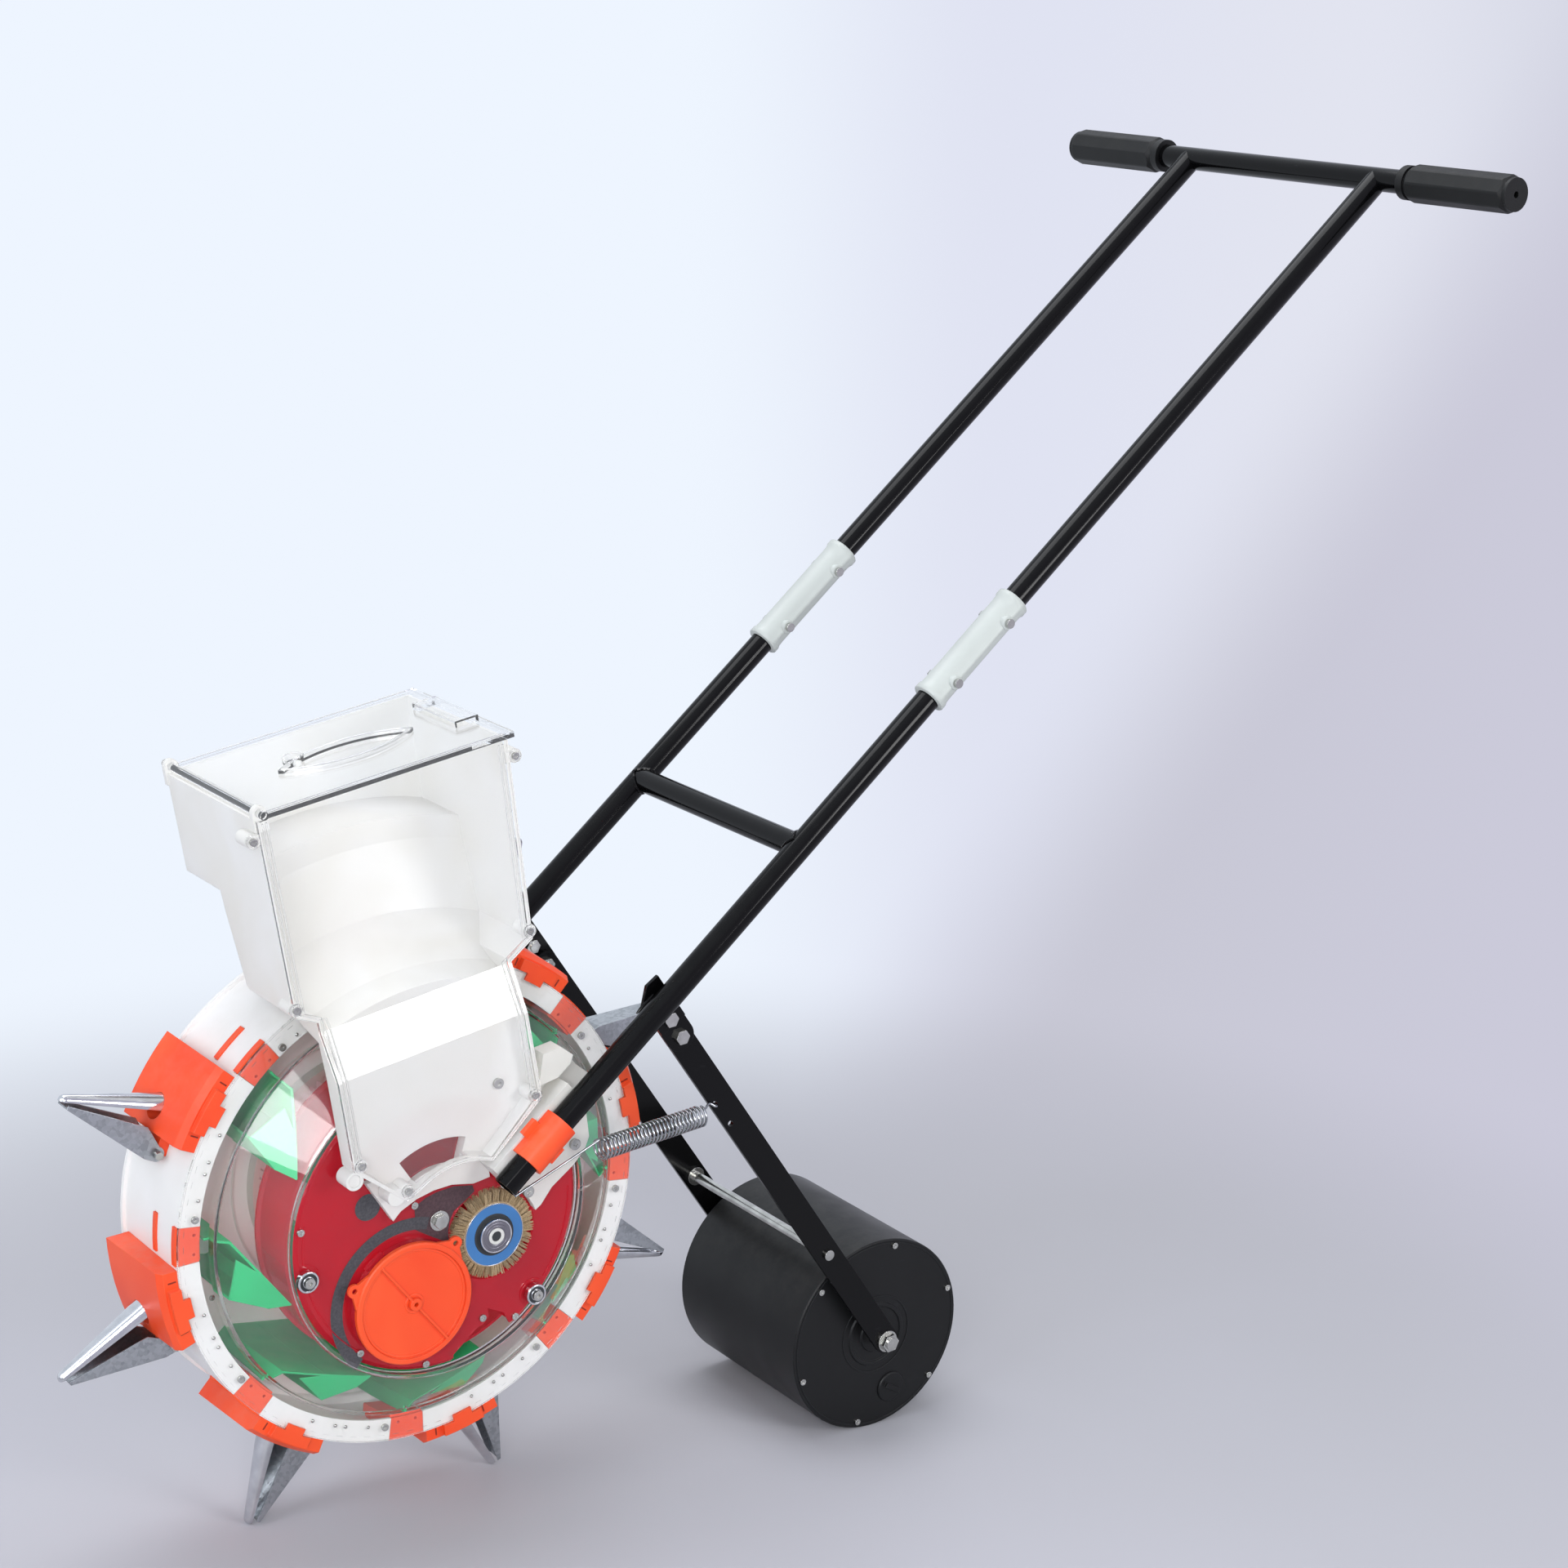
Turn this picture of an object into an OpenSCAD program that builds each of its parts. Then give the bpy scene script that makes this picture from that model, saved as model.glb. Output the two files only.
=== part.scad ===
// Hand-pushed corn planter: a duckbill seeding wheel with a clear hopper, a long
// double-tube handle and a trailing press roller on a sprung yoke.
//
// Frame: +X runs back towards the handle, -Y is the side with the clear cover, +Z is up
// and the floor is z = 0. The origin is the middle of the footprint. The chassis stands
// nose-down by "chassis_pitch", so what is fixed to it is drawn level and then tilted
// about the wheel's axle. The spikes of the wheel are drawn hanging down and then turned.

/* [Wheel] */
// Outer radius of the drum rim
drum_r = 217.5; // [205:0.5:230]
// Near edge of the rim, across the wheel
drum_near_y = -45; // [-60:1:-35]
// Far edge of the rim
drum_far_y = 58.8; // [50:0.2:70]
// Wall of the rim
rim_wall = 3; // [2:0.5:5]
// Extra radius of the flange at the far edge
far_flange = 3; // [1:0.5:6]
// Width of the far flange
flange_w = 4; // [2:0.5:8]
// Inner face of the drum's back plate
back_plate_y = 50; // [46:0.5:52]
// Thickness of the back plate
back_plate_t = 4; // [3:0.5:6]
// Width of the near edge's landing ring, which carries the clear cover
landing_w = 19.5; // [16:0.5:20]
// Radius of the drum's centre hub
hub_r = 24; // [16:1:30]
// Number of duckbills round the rim
duckbills = 8; // [8:1:8]
// Radius of the circle that the spike tips run on
tip_circle_r = 320.5; // [300:0.5:340]

/* [Clear side cover] */
// Thickness of the clear plastic
cover_t = 2.5; // [2:0.5:4]
// Width of the flat ring between the rim's edge and the step
cover_ring_w = 28.1; // [26:0.1:32]
// Distance of the cover's screws inside the rim's edge
cover_screw_in = 13.2; // [11:0.1:15]
// Angle of a cover screw past its spike, in degrees
cover_screw_at = 16.2; // [10:0.1:16.5]
// Height of the step above the rim's edge
cover_step = 10; // [5:1:14]
// Radius of the cone's inner edge
cover_lip_r = 140.7; // [139:0.1:150]
// Depth of the cone's inner edge
cover_lip_y = -92.5; // [-94:0.5:-88]
// Inner radius of the lip that the guide bearings run in
lip_track_r = 137.2; // [136.5:0.1:140]

/* [Duckbills] */
// First and last angle of a seat behind its spike, in degrees
seat_from = -17; // [-20:0.5:-12]
// Leading edge of a seat, in degrees
seat_to = 1.2; // [0:0.1:2]
// Height of a seat above the rim at the near edge
seat_near_h = 12.5; // [8:0.5:18]
// Height of a seat above the rim at the far edge
seat_far_h = 20.5; // [14:0.5:26]
// Middle of the duckbill across the wheel
beak_y = 9; // [0:0.5:15]
// Outer radius of the beak's half tube at the seat
beak_root_r = 12; // [9:0.5:14]
// Radius of the beak's round tip
beak_tip_r = 5.5; // [4:0.5:8]
// Wall of the beak's half tube
beak_wall = 1.5; // [1:0.1:2.5]
// Height of the beak's root above the rim
beak_root_h = 5; // [4:0.5:8]
// Angle over which the half tube is open, in degrees
beak_open = 172; // [165:1:180]
// Lean of the beak from the radius, in degrees
beak_lean = 10.3; // [6:0.1:14]
// Sheet of the beak's flap
flap_t = 1.2; // [0.8:0.1:2]
// Half width of the flap at its hinge
flap_root_w = 14.5; // [13:0.5:18]
// Half width of the flap at its tip
flap_tip_w = 9; // [8:0.5:12]
// Distance of the flap's hinge outside the rim
hinge_h = 9.5; // [8:0.5:12]
// Angle of the flap's hinge past the spike, in degrees
hinge_at = 5.4; // [4.8:0.1:7]
// Radius of the hinge pin
pin_r = 2; // [1.5:0.1:3]
// Radial clearance of the flap on its pin
pin_fit = 0.05; // [0.02:0.01:0.1]
// First angle of the seed block inside the rim, in degrees
block_from = -26.8; // [-28:0.1:-25]
// Last angle of the seed block, in degrees
block_to = -18; // [-20:0.1:-17.5]
// Depth of the seed block inside the rim
block_h = 18.5; // [16:0.5:19]

/* [Seed chamber] */
// Outer radius of the chamber's round wall
chamber_r = 135; // [130:0.5:136]
// Wall of the chamber
chamber_wall = 2.5; // [2:0.25:4]
// Near face of the chamber's front plate
chamber_near_y = -90; // [-92:0.5:-88]
// Far face of the chamber's back plate
chamber_far_y = -29; // [-40:0.5:-20]
// Radius of the wheel axle
axle_r = 6; // [5:0.5:8]
// Radial clearance of a running shaft
shaft_fit = 0.05; // [0.02:0.01:0.1]
// Radius of the metering and brush shafts
shaft_r = 4; // [3:0.5:6]
// Direction of the metering cap from the axle, in degrees on the chassis
cap_at = 235.9; // [225:0.1:245]
// Radius of the metering cap
cap_r = 54.4; // [53:0.2:58]
// Inner radius of the metering housing
housing_r = 51; // [50:0.2:52]
// Front edge of the metering housing
housing_y = -97; // [-98:0.5:-95]
// Radius of the seed roller
roller_cell_r = 49.5; // [46:0.5:49.5]
// Seed cells round the roller
seed_cells = 6; // [2:1:8]
// Direction of the brush from the axle, in degrees on the chassis
brush_at = -33.8; // [-40:0.1:-28]
// Radius of the brush over its bristles
brush_r = 40; // [36:0.5:40]
// Radius of the blue brush disc
brush_disc_r = 28; // [24:0.5:30]
// Bristles in one row of the brush
bristles = 72; // [60:1:80]
// Rows of bristles across the brush
bristle_rows = 5; // [5:1:6]
// Radius of a guide bearing
bearing_r = 9.5; // [9:0.1:9.7]
// Radius of the circle that the guide bearings stand on
bearing_circle_r = 127.4; // [127:0.1:127.4]

/* [Drive gears] */
// Size of a tooth (module)
tooth_size = 2.5; // [2.5:0.5:2.5]
// Teeth inside the ring gear
ring_teeth = 76; // [76:1:76]
// Teeth on the metering gear
metering_teeth = 19; // [19:1:19]
// Teeth on the brush gear
brush_teeth = 32; // [32:1:32]
// Width of the gears
gear_w = 10; // [6:1:11]
// Play on each flank
flank_play = 0.3; // [0.25:0.05:0.5]

/* [Hopper] */
// Wall of the hopper body and of the clear panel
hopper_wall = 2.5; // [2:0.25:4]
// Top of the hopper body above the axle
hopper_top = 399; // [380:1:420]
// Front face of the upper clear panel
panel_upper_y = -105; // [-108:0.5:-103]
// Front face of the lower clear panel
panel_lower_y = -118; // [-122:0.5:-112]
// Where the slanted part of the panel starts, above the axle
slant_top = 210; // [205:1:220]
// Where the slanted part ends
slant_foot = 168; // [160:1:175]
// Back wall of the hopper
hopper_back_y = 58; // [54:1:62]
// Radius that the back of the hopper leaves free for the spikes
spike_room_r = 329; // [328:1:335]
// Thickness of the lid
lid_t = 3; // [2:0.5:4]
// Gap under the lid
lid_gap = 0.3; // [0.2:0.1:0.5]
// Height of the lid's hinge above the hopper's top
hinge_up = 5; // [4.5:0.5:7]
// Radius of the hinge rod
rod_r = 3.5; // [3:0.5:5]

/* [Handle] */
// Outer diameter of the handle tubes
tube_d = 22; // [19:0.5:25.5]
// Wall of the handle tubes
tube_wall = 1.5; // [1:0.1:2.5]
// Distance of each tube from the middle plane
tube_y = 127.4; // [125:0.2:132]
// Slope of the handle on the chassis, in degrees
handle_slope = 31.1; // [28:0.1:34]
// Where along the tube the clamp sits
clamp_at = 50; // [45:1:55]
// Length of the clamp along the tube
clamp_len = 45; // [38:1:50]
// Where along the tube the cross bar sits
cross_at = 388; // [370:1:410]
// Start of the joining sleeve along the tube
sleeve_from = 565.6; // [550:0.2:580]
// Length of the joining sleeve
sleeve_len = 121.2; // [110:0.2:130]
// Where along the tube the T-bar sits
t_bar_at = 1235.7; // [1180:0.1:1290]
// Outer end of the grips from the middle plane
grip_end_y = 297; // [280:1:310]
// Length of a grip
grip_len = 133; // [120:1:140]
// Width of a grip across its flats
grip_d = 33; // [30:0.5:36]

/* [Roller yoke] */
// Length of an arm from its pivot to the roller's axle
arm_len = 427; // [415:1:440]
// Width of an arm
arm_w = 25; // [22:0.5:28]
// Thickness of an arm
arm_t = 4; // [3:0.5:5]
// Middle of an arm from the middle plane
arm_y = 110; // [108:0.5:111]
// Pivot of the yoke along the chassis, from the axle
pivot_u = 242.2; // [235:0.2:250]
// Pivot of the yoke above the axle, on the chassis
pivot_w = 91.1; // [85:0.1:95]
// Radius of the pivot bolt
pivot_r = 4; // [3:0.5:5]
// Radius of the roller
roller_r = 94.9; // [85:0.1:105]
// Half length of the roller
roller_half = 94.2; // [88:0.2:96]
// Wall of the roller shell
roller_wall = 3; // [2:0.5:5]
// Radius of the roller's axle
roller_axle_r = 6; // [5:0.5:8]
// Distance of the stay rod from the roller's axle, along the arm
stay_back = 128; // [122:1:142]
// Radius of the stay rod
stay_r = 5; // [4:0.5:7]
// Distance of the spring's hole from the pivot, along the arm
hook_at = 82; // [78:1:86]
// Offset of the spring's hole towards the wheel
hook_off = 8; // [6:0.5:8.5]
// Distance of the spare hole from the pivot, along the arm
spare_at = 110; // [106:1:116]
// Offset of the spare hole towards the wheel
spare_off = 6; // [4:0.5:8]
// Radius of both holes
hook_hole_r = 2.75; // [2.5:0.25:3.5]

/* [Tension spring] */
// Wire of the spring
wire_d = 2.2; // [1.8:0.1:2.6]
// Outer diameter of the coils
coil_d = 20; // [18:0.5:22]
// Number of coils
coils = 27; // [22:1:28]

/* [Hidden] */
chassis_pitch = 12;
round_fn = 96;
small_fn = 32;
seat_gap = 0.1;      // between a piece and the socket it stands in
free_gap = 0.3;      // between a piece and a neighbour that moves past it
screw_r = 1.6;
screw_head_r = 3.2;
screw_head_h = 2;

rim_inner_r = drum_r - rim_wall;
landing_r = drum_r - landing_w;
cover_step_r = drum_r - cover_ring_w;
block_r = rim_inner_r - block_h;
beak_len = tip_circle_r - drum_r - beak_root_h;
stay_at = arm_len - stay_back;
spike_step = 360 / duckbills;
spike_first = spike_step / 2;
axle_z = (tip_circle_r - beak_tip_r) * cos(spike_first) + beak_tip_r;

// The handle's axis on the chassis: from its lower end, and its slope in the world
tube_u = 47.2;
tube_w = 26.4;
world_slope = handle_slope + chassis_pitch;
t_bar_u = tube_u + t_bar_at * cos(handle_slope);
t_bar_w = tube_w + t_bar_at * sin(handle_slope);
t_bar_x = t_bar_u * cos(chassis_pitch) - t_bar_w * sin(chassis_pitch);

// The footprint runs from the foremost spike to the grips at the T-bar
spike_front = (tip_circle_r - beak_tip_r) * sin(spike_first + spike_step) + beak_tip_r;
axle_x = (spike_front - t_bar_x - grip_d / 2) / 2;

// The yoke's pivot in the world, measured from the axle, and the arm's slope there
pivot_x = pivot_u * cos(chassis_pitch) - pivot_w * sin(chassis_pitch);
pivot_z = pivot_u * sin(chassis_pitch) + pivot_w * cos(chassis_pitch);
arm_drop = asin((axle_z + pivot_z - roller_r) / arm_len);

// Centres of the geared shafts, as far out as their teeth mesh with the ring gear
metering_dist = (ring_teeth - metering_teeth) * tooth_size / 2;
brush_dist = (ring_teeth - brush_teeth) * tooth_size / 2;
cap_u = metering_dist * cos(cap_at);
cap_w = metering_dist * sin(cap_at);
brush_u = brush_dist * cos(brush_at);
brush_w = brush_dist * sin(brush_at);
gear_far_y = back_plate_y - 1;
gear_near_y = gear_far_y - gear_w;
bearing_at = [181.4, -53.4, 57.3];
cover_flat_y = drum_near_y - cover_t;

// Frames and small helpers

// Axle of the wheel, in the world
module at_axle() translate([axle_x, 0, axle_z]) children();

// What is fixed to the chassis
module chassis() at_axle() rotate([0, -chassis_pitch, 0]) children();

// One duckbill, drawn hanging straight down from the axle
module at_spike(k) at_axle() rotate([0, -(spike_first + spike_step * k), 0]) children();

// A side view drawn in (x, z) and made solid from y0 to y1
module slab(y0, y1) translate([0, y1, 0]) rotate([90, 0, 0]) linear_extrude(y1 - y0) children();

// A half section drawn in (radius, y) and turned about the Y axis
module turned(fn = round_fn, from = 0, sweep = 360)
    rotate([90, 0, 0]) rotate([0, 0, from]) rotate_extrude(angle = sweep, $fn = fn)
        mirror([0, 1]) children();

// A cylinder along Y
module bar(r, y0, y1, fn = small_fn)
    translate([0, y1, 0]) rotate([90, 0, 0]) cylinder(h = y1 - y0, r = r, $fn = fn);

// A sector of a ring, from inner to outer radius, between two angles past straight down
module sector(r0, r1, y0, y1, from, to)
    turned(from = from - 90, sweep = to - from)
        polygon([[r0, y0], [r1, y0], [r1, y1], [r0, y1]]);

// A pan-head screw along Y, its head's seat at y, its shank running to the far side
module screw(y, r = screw_r, head_r = screw_head_r, head_h = screw_head_h, len = 6) {
    bar(r, y - 0.01, y + len, 24);
    difference() {
        bar(head_r, y - head_h, y, 24);
        translate([0, y - head_h, 0]) cube([head_r * 0.9, 1.2, head_r * 0.25], center = true);
        translate([0, y - head_h, 0]) cube([head_r * 0.25, 1.2, head_r * 0.9], center = true);
    }
}

// A piece drawn on the near side (-1), or the same piece on the far side (1)
module mirrored(side) mirror([0, side > 0 ? 1 : 0, 0]) children();

function on_circle(r, a) = [r * sin(a), -r * cos(a)];
function lerp(a, b, t) = a + (b - a) * t;

// The wheel's drum

module cover_screw_places()
    for (k = [0 : duckbills - 1])
        at_spike(k) rotate([0, -cover_screw_at, 0]) translate([0, 0, cover_screw_in - drum_r]) children();

window_half = 11;

module drum_shell() color("ivory") {
    difference() {
        at_axle() {
            turned(180) polygon([
                [rim_inner_r, drum_near_y + rim_wall], [landing_r, drum_near_y + rim_wall],
                [landing_r, drum_near_y], [drum_r, drum_near_y],
                [drum_r, drum_far_y - flange_w - 1], [drum_r + far_flange, drum_far_y - flange_w],
                [drum_r + far_flange, drum_far_y], [rim_inner_r, drum_far_y],
                [rim_inner_r, back_plate_y + back_plate_t],
                [hub_r + 4, back_plate_y + back_plate_t], [hub_r, drum_far_y + 3],
                [axle_r + shaft_fit, drum_far_y + 3], [axle_r + shaft_fit, gear_near_y - 4],
                [axle_r + 4, gear_near_y - 4], [axle_r + 4, back_plate_y],
                [rim_inner_r, back_plate_y]]);
            for (a = [0 : 45 : 315])
                rotate([0, a, 0]) translate([0, back_plate_y + back_plate_t + 1.5, -(rim_inner_r + hub_r) / 2])
                    cube([3, 3.02, rim_inner_r - hub_r - 8], center = true);
        }
        for (k = [0 : duckbills - 1])
            at_spike(k) {
                sector(landing_r - 5, drum_r + 1, drum_near_y - 1, drum_near_y + 7,
                    block_from - seat_gap, block_to + seat_gap);
                sector(landing_r, drum_r + 1, -8.1, -1.9, block_from - seat_gap, block_to + seat_gap);
                sector(landing_r, drum_r + 1, beak_y - window_half, beak_y + window_half, -12, -3);
            }
        cover_screw_places() bar(screw_r + seat_gap, drum_near_y - 1, drum_near_y + 8, 24);
    }
}

// Teeth with involute flanks, drawn as a gear that turns outside its pitch circle

function involute_turn(base, r) =
    let (a = acos(min(1, base / r))) tan(a) * 180 / PI - a;

function tooth_side(teeth, r, play, side) =
    let (pitch = teeth * tooth_size / 2, base = pitch * cos(20))
    side * (90 / teeth - play / pitch * 180 / PI
        + involute_turn(base, pitch) - involute_turn(base, max(r, base)));

function gear_outline(teeth, top, foot, play) =
    let (pitch = teeth * tooth_size / 2, steps = 3)
    [for (t = [0 : teeth - 1])
        for (i = [-steps : steps])
            let (
                level = steps - abs(i),
                inner = pitch - foot,
                outer = pitch + top,
                r = i == 0 ? outer : lerp(outer, inner, abs(i) / steps),
                a = tooth_side(teeth, r, play, i < 0 ? -1 : 1)
            )
            each (i == 0
                ? [polar(outer, t * 360 / teeth + tooth_side(teeth, outer, play, -1)),
                   polar(outer, t * 360 / teeth + tooth_side(teeth, outer, play, 1))]
                : [polar(r, t * 360 / teeth + a)])];

function polar(r, a) = [r * cos(a), r * sin(a)];

ring_outer_r = ring_teeth * tooth_size / 2 + tooth_size * 1.25 + 6;

module ring_gear() color("gainsboro")
    at_axle() slab(gear_near_y, back_plate_y)
        difference() {
            circle(r = ring_outer_r, $fn = round_fn);
            polygon(gear_outline(ring_teeth, tooth_size * 1.25, tooth_size * 0.9, -flank_play));
        }

// A gear that meshes with the ring: one tooth of it stands in one gap of the ring
function mesh_turn(at, teeth) =
    let (world_at = at + chassis_pitch, step = 360 / ring_teeth)
    world_at + (round(world_at / step) * step - world_at) * ring_teeth / teeth;

module shaft_gear(teeth, at, bore)
    rotate([0, chassis_pitch, 0]) rotate([0, -mesh_turn(at, teeth), 0])
        slab(gear_near_y, gear_far_y)
            difference() {
                polygon(gear_outline(teeth, tooth_size * 0.9, tooth_size * 1.25, 0));
                circle(r = bore, $fn = small_fn);
            }

module side_cover() color("whitesmoke", 0.35)
    difference() {
        at_axle() turned(180) polygon([
            [drum_r, drum_near_y], [drum_r, cover_flat_y], [cover_step_r + 1, cover_flat_y],
            [cover_step_r, drum_near_y - cover_step], [cover_step_r - 3, drum_near_y - cover_step - 0.6],
            [cover_lip_r, cover_lip_y + 1], [cover_lip_r - 0.6, cover_lip_y],
            [lip_track_r, cover_lip_y], [lip_track_r, cover_lip_y + 8],
            [cover_lip_r - 0.5, cover_lip_y + 8],
            [cover_step_r - 3.5, drum_near_y - cover_step + cover_t - 0.5],
            [cover_step_r - 2, drum_near_y]]);
        cover_screw_places() bar(screw_r + seat_gap, cover_flat_y - 1, drum_near_y + 1, 24);
    }

module drum_screws() color("silver") cover_screw_places() screw(cover_flat_y);

// One duckbill's pieces

hinge_r = drum_r + hinge_h;
seat_foot_r = drum_r + seat_gap;

// Along the beak: the tip's centre is the origin and +Z runs up the beak to the seat
module along_beak() translate([0, beak_y, -(tip_circle_r - beak_tip_r)])
    rotate([0, -beak_lean, 0]) children();

module duckbill_seats() color("orangered")
    for (k = [0 : duckbills - 1]) at_spike(k) difference() {
        union() {
            turned(from = seat_from - 90, sweep = seat_to - seat_from)
                polygon([[seat_foot_r, drum_near_y + 0.5], [drum_r + seat_near_h, drum_near_y + 0.5],
                    [drum_r + seat_near_h + 4, drum_near_y + 7],
                    [drum_r + seat_far_h, drum_far_y - flange_w - 5],
                    [seat_foot_r, drum_far_y - flange_w - 5]]);
            sector(drum_r + free_gap, drum_r + seat_near_h - 2, cover_flat_y - 2.5, drum_near_y + 1, -13, -3);
            sector(drum_r - 6, drum_r + seat_near_h - 2, cover_flat_y - 2.5, cover_flat_y - seat_gap,
                -10.3, -5.5);
            hinge_ear();
        }
        along_beak() beak_cone(seat_gap, 3);
        sector(drum_r - 1, drum_r + 8, beak_y - window_half + 1, beak_y + window_half - 1, -11, -5);
        hinge_place() bar(pin_r + pin_fit, beak_y - 20, beak_y + 20, 24);
    }

module hinge_place() rotate([0, -hinge_at, 0]) translate([0, 0, -hinge_r]) children();

module hinge_ear() {
    ear_half = flap_root_w - flap_t - 1.2;
    hinge_place() bar(pin_r + 2.5, beak_y - ear_half, beak_y + ear_half);
    sector(seat_foot_r, hinge_r, beak_y - ear_half, beak_y + ear_half, seat_to - 0.5, hinge_at + 0.3);
}

// The round cone of a beak, grown by a clearance and run on past its root
module beak_cone(grow, extra) {
    h = beak_len - beak_tip_r;
    flare = (beak_root_r - beak_tip_r) / h;
    sphere(r = beak_tip_r + grow, $fn = small_fn);
    cylinder(h = h + extra, r1 = beak_tip_r + grow, r2 = beak_root_r + grow + flare * extra,
        $fn = small_fn);
}

// Half of the cone's section: its round tip, then its flank
function beak_edge(grow) = let (r = beak_tip_r + grow)
    [for (a = [-90 : 15 : 0]) polar(r, a), [beak_root_r + grow, beak_len - beak_tip_r]];

function backwards(list) = [for (i = [len(list) - 1 : -1 : 0]) list[i]];

module fixed_beaks() color("silver")
    for (k = [0 : duckbills - 1]) at_spike(k) along_beak()
        rotate([0, 0, beak_open / 2]) rotate_extrude(angle = 360 - beak_open, $fn = small_fn)
            polygon(concat(beak_edge(0), backwards(beak_edge(-beak_wall))));

module beak_pins() color("silver")
    for (k = [0 : duckbills - 1]) at_spike(k) hinge_place() {
        bar(pin_r, beak_y - flap_root_w - 2.5, beak_y + flap_root_w + 2.5, 24);
        bar(3.8, beak_y - flap_root_w - 5, beak_y - flap_root_w - 2.5, 6);
        bar(3.8, beak_y + flap_root_w + 2.5, beak_y + flap_root_w + 5, 6);
    }

// The flap: two cheeks and a web folded from one sheet, drawn in the closed place
flap_top_r = drum_r + seat_far_h + 4;
flap_tip_at = tip_circle_r - 6;

function flap_side(inset) =
    let (h = on_circle(hinge_r, hinge_at))
    [[1.8 - inset * 3, -flap_top_r], [1.8 - inset * 3, -flap_tip_at],
     [5 - inset * 1.1, -flap_tip_at], [h[0] + 6.5 - inset * 1.05, h[1] - 9],
     [h[0] + 6.5 - inset * 1.05, h[1] - (inset > 0 ? -20 : 0)],
     [h[0], h[1] + (inset > 0 ? 20 : 0)], [h[0] - 6.5 - inset * 3, h[1] - (inset > 0 ? -20 : 0)]];

module flap_width(inset) {
    top = -(hinge_r - 20);
    foot = -(flap_tip_at + 5);
    translate([-60, beak_y, 0]) rotate([90, 0, 90]) linear_extrude(140)
        polygon([[-flap_root_w + inset, top], [flap_root_w - inset, top],
            [flap_tip_w - inset, foot], [-flap_tip_w + inset, foot]]);
}

module flap(k) color("darkgray") at_spike(k) difference() {
    intersection() {
        union() {
            slab(beak_y - 30, beak_y + 30) polygon(flap_side(0));
            hinge_place() bar(6.5, beak_y - 30, beak_y + 30);
        }
        flap_width(0);
    }
    intersection() {
        slab(beak_y - 30, beak_y + 30) polygon(flap_side(flap_t));
        flap_width(flap_t);
    }
    hinge_place() bar(pin_r + pin_fit, beak_y - 30, beak_y + 30, 24);
}

module flap_1() flap(0);
module flap_2() flap(1);
module flap_3() flap(2);
module flap_4() flap(3);
module flap_5() flap(4);
module flap_6() flap(5);
module flap_7() flap(6);
module flap_8() flap(7);

// Seed blocks inside the rim, with the bar that shows through its slot and the lip at its edge
block_near_y = drum_near_y + 3.2;
block_hole_at = [-24.8, -20];
block_hole_r = landing_r + 4.5;

module seed_blocks() color("orangered")
    for (k = [0 : duckbills - 1]) at_spike(k) difference() {
        union() {
            sector(block_r, rim_inner_r - seat_gap, block_near_y, 4, block_from, block_to);
            sector(landing_r, drum_r + 1.5, drum_near_y + 0.2, drum_near_y + 6.8, block_from, block_to);
            sector(rim_inner_r - 1, drum_r + 1.5, -8, -2, block_from, block_to);
        }
        sector(block_r + 2.5, rim_inner_r - 4, block_near_y + 3, 1.5, block_from + 0.7, block_to + 1);
        for (a = block_hole_at)
            rotate([0, -a, 0]) translate([0, 0, -block_hole_r]) bar(1.4, drum_near_y - 1, block_near_y + 2, 24);
    }

// Green scoops: a wall that leans in from the block to the lip, a closing wall and a near wing
scoop_t = 2;
scoop_far_y = back_plate_y;
scoop_bend_r = cover_lip_r + 16.3;

function scoop_line() = [on_circle(block_r - 4, -23), on_circle(block_r - 20, -23),
    on_circle(scoop_bend_r, -13.7), on_circle(cover_lip_r + 1.8, -1.6), on_circle(scoop_bend_r, -1.9),
    on_circle(block_r - 15, -6.6)];

module wall_between(a, b, t)
    let (d = b - a, n = [-d[1], d[0]] / norm(d) * t / 2)
        polygon([a - n, b - n, b + n, a + n]);

// The room under the clear cover, down to a depth
module cover_room(gap, far)
    turned(180) polygon([[lip_track_r + 1.8, far], [lip_track_r + 1.8, cover_lip_y + 8 + gap],
        [cover_lip_r + 1, cover_lip_y + 8 + gap],
        [cover_step_r - 4, drum_near_y - cover_step + cover_t + gap],
        [cover_step_r - 4, drum_near_y + gap + 1.5], [rim_inner_r - 1, drum_near_y + gap + 1.5],
        [rim_inner_r - 1, far]]);

module seed_scoops() color("mediumseagreen")
    for (k = [0 : duckbills - 1]) at_spike(k) {
        p = scoop_line();
        intersection() {
            cover_room(1.2, scoop_far_y);
            slab(cover_lip_y, scoop_far_y) for (i = [0 : 4]) {
                wall_between(p[i], p[i + 1], scoop_t);
                translate(p[i]) circle(r = scoop_t / 2 + 0.25, $fn = 16);
            }
        }
        difference() {
            intersection() {
                cover_room(1.2, scoop_far_y);
                slab(cover_lip_y, -40) polygon([p[2], p[3], p[4], p[5], on_circle(block_r - 24, -18.1)]);
            }
            cover_room(1.2 + scoop_t, scoop_far_y + 1);
        }
        translate([p[5][0] + 8, 0, p[5][1] + 6]) difference() {
            bar(7, scoop_far_y - 2.5, scoop_far_y);
            bar(screw_r + seat_gap, scoop_far_y - 4, scoop_far_y + 1, 24);
        }
        translate([p[5][0] + 1, scoop_far_y - 2.5, p[5][1] + 1]) cube([8, 2.5, 8]);
    }

// The seed chamber on the chassis

module at_cap() translate([cap_u, 0, cap_w]) children();
module at_brush() translate([brush_u, 0, brush_w]) children();

chamber_screw_places = [[-123.8, 39.7], [-92, -88.6], [-35.1, -124.7], [24.5, -105.4], [55.1, -117.1],
    [-20.1, 22.7]];
module chamber_screw_holes() for (p = chamber_screw_places) translate([p[0], 0, p[1]]) children();

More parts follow.
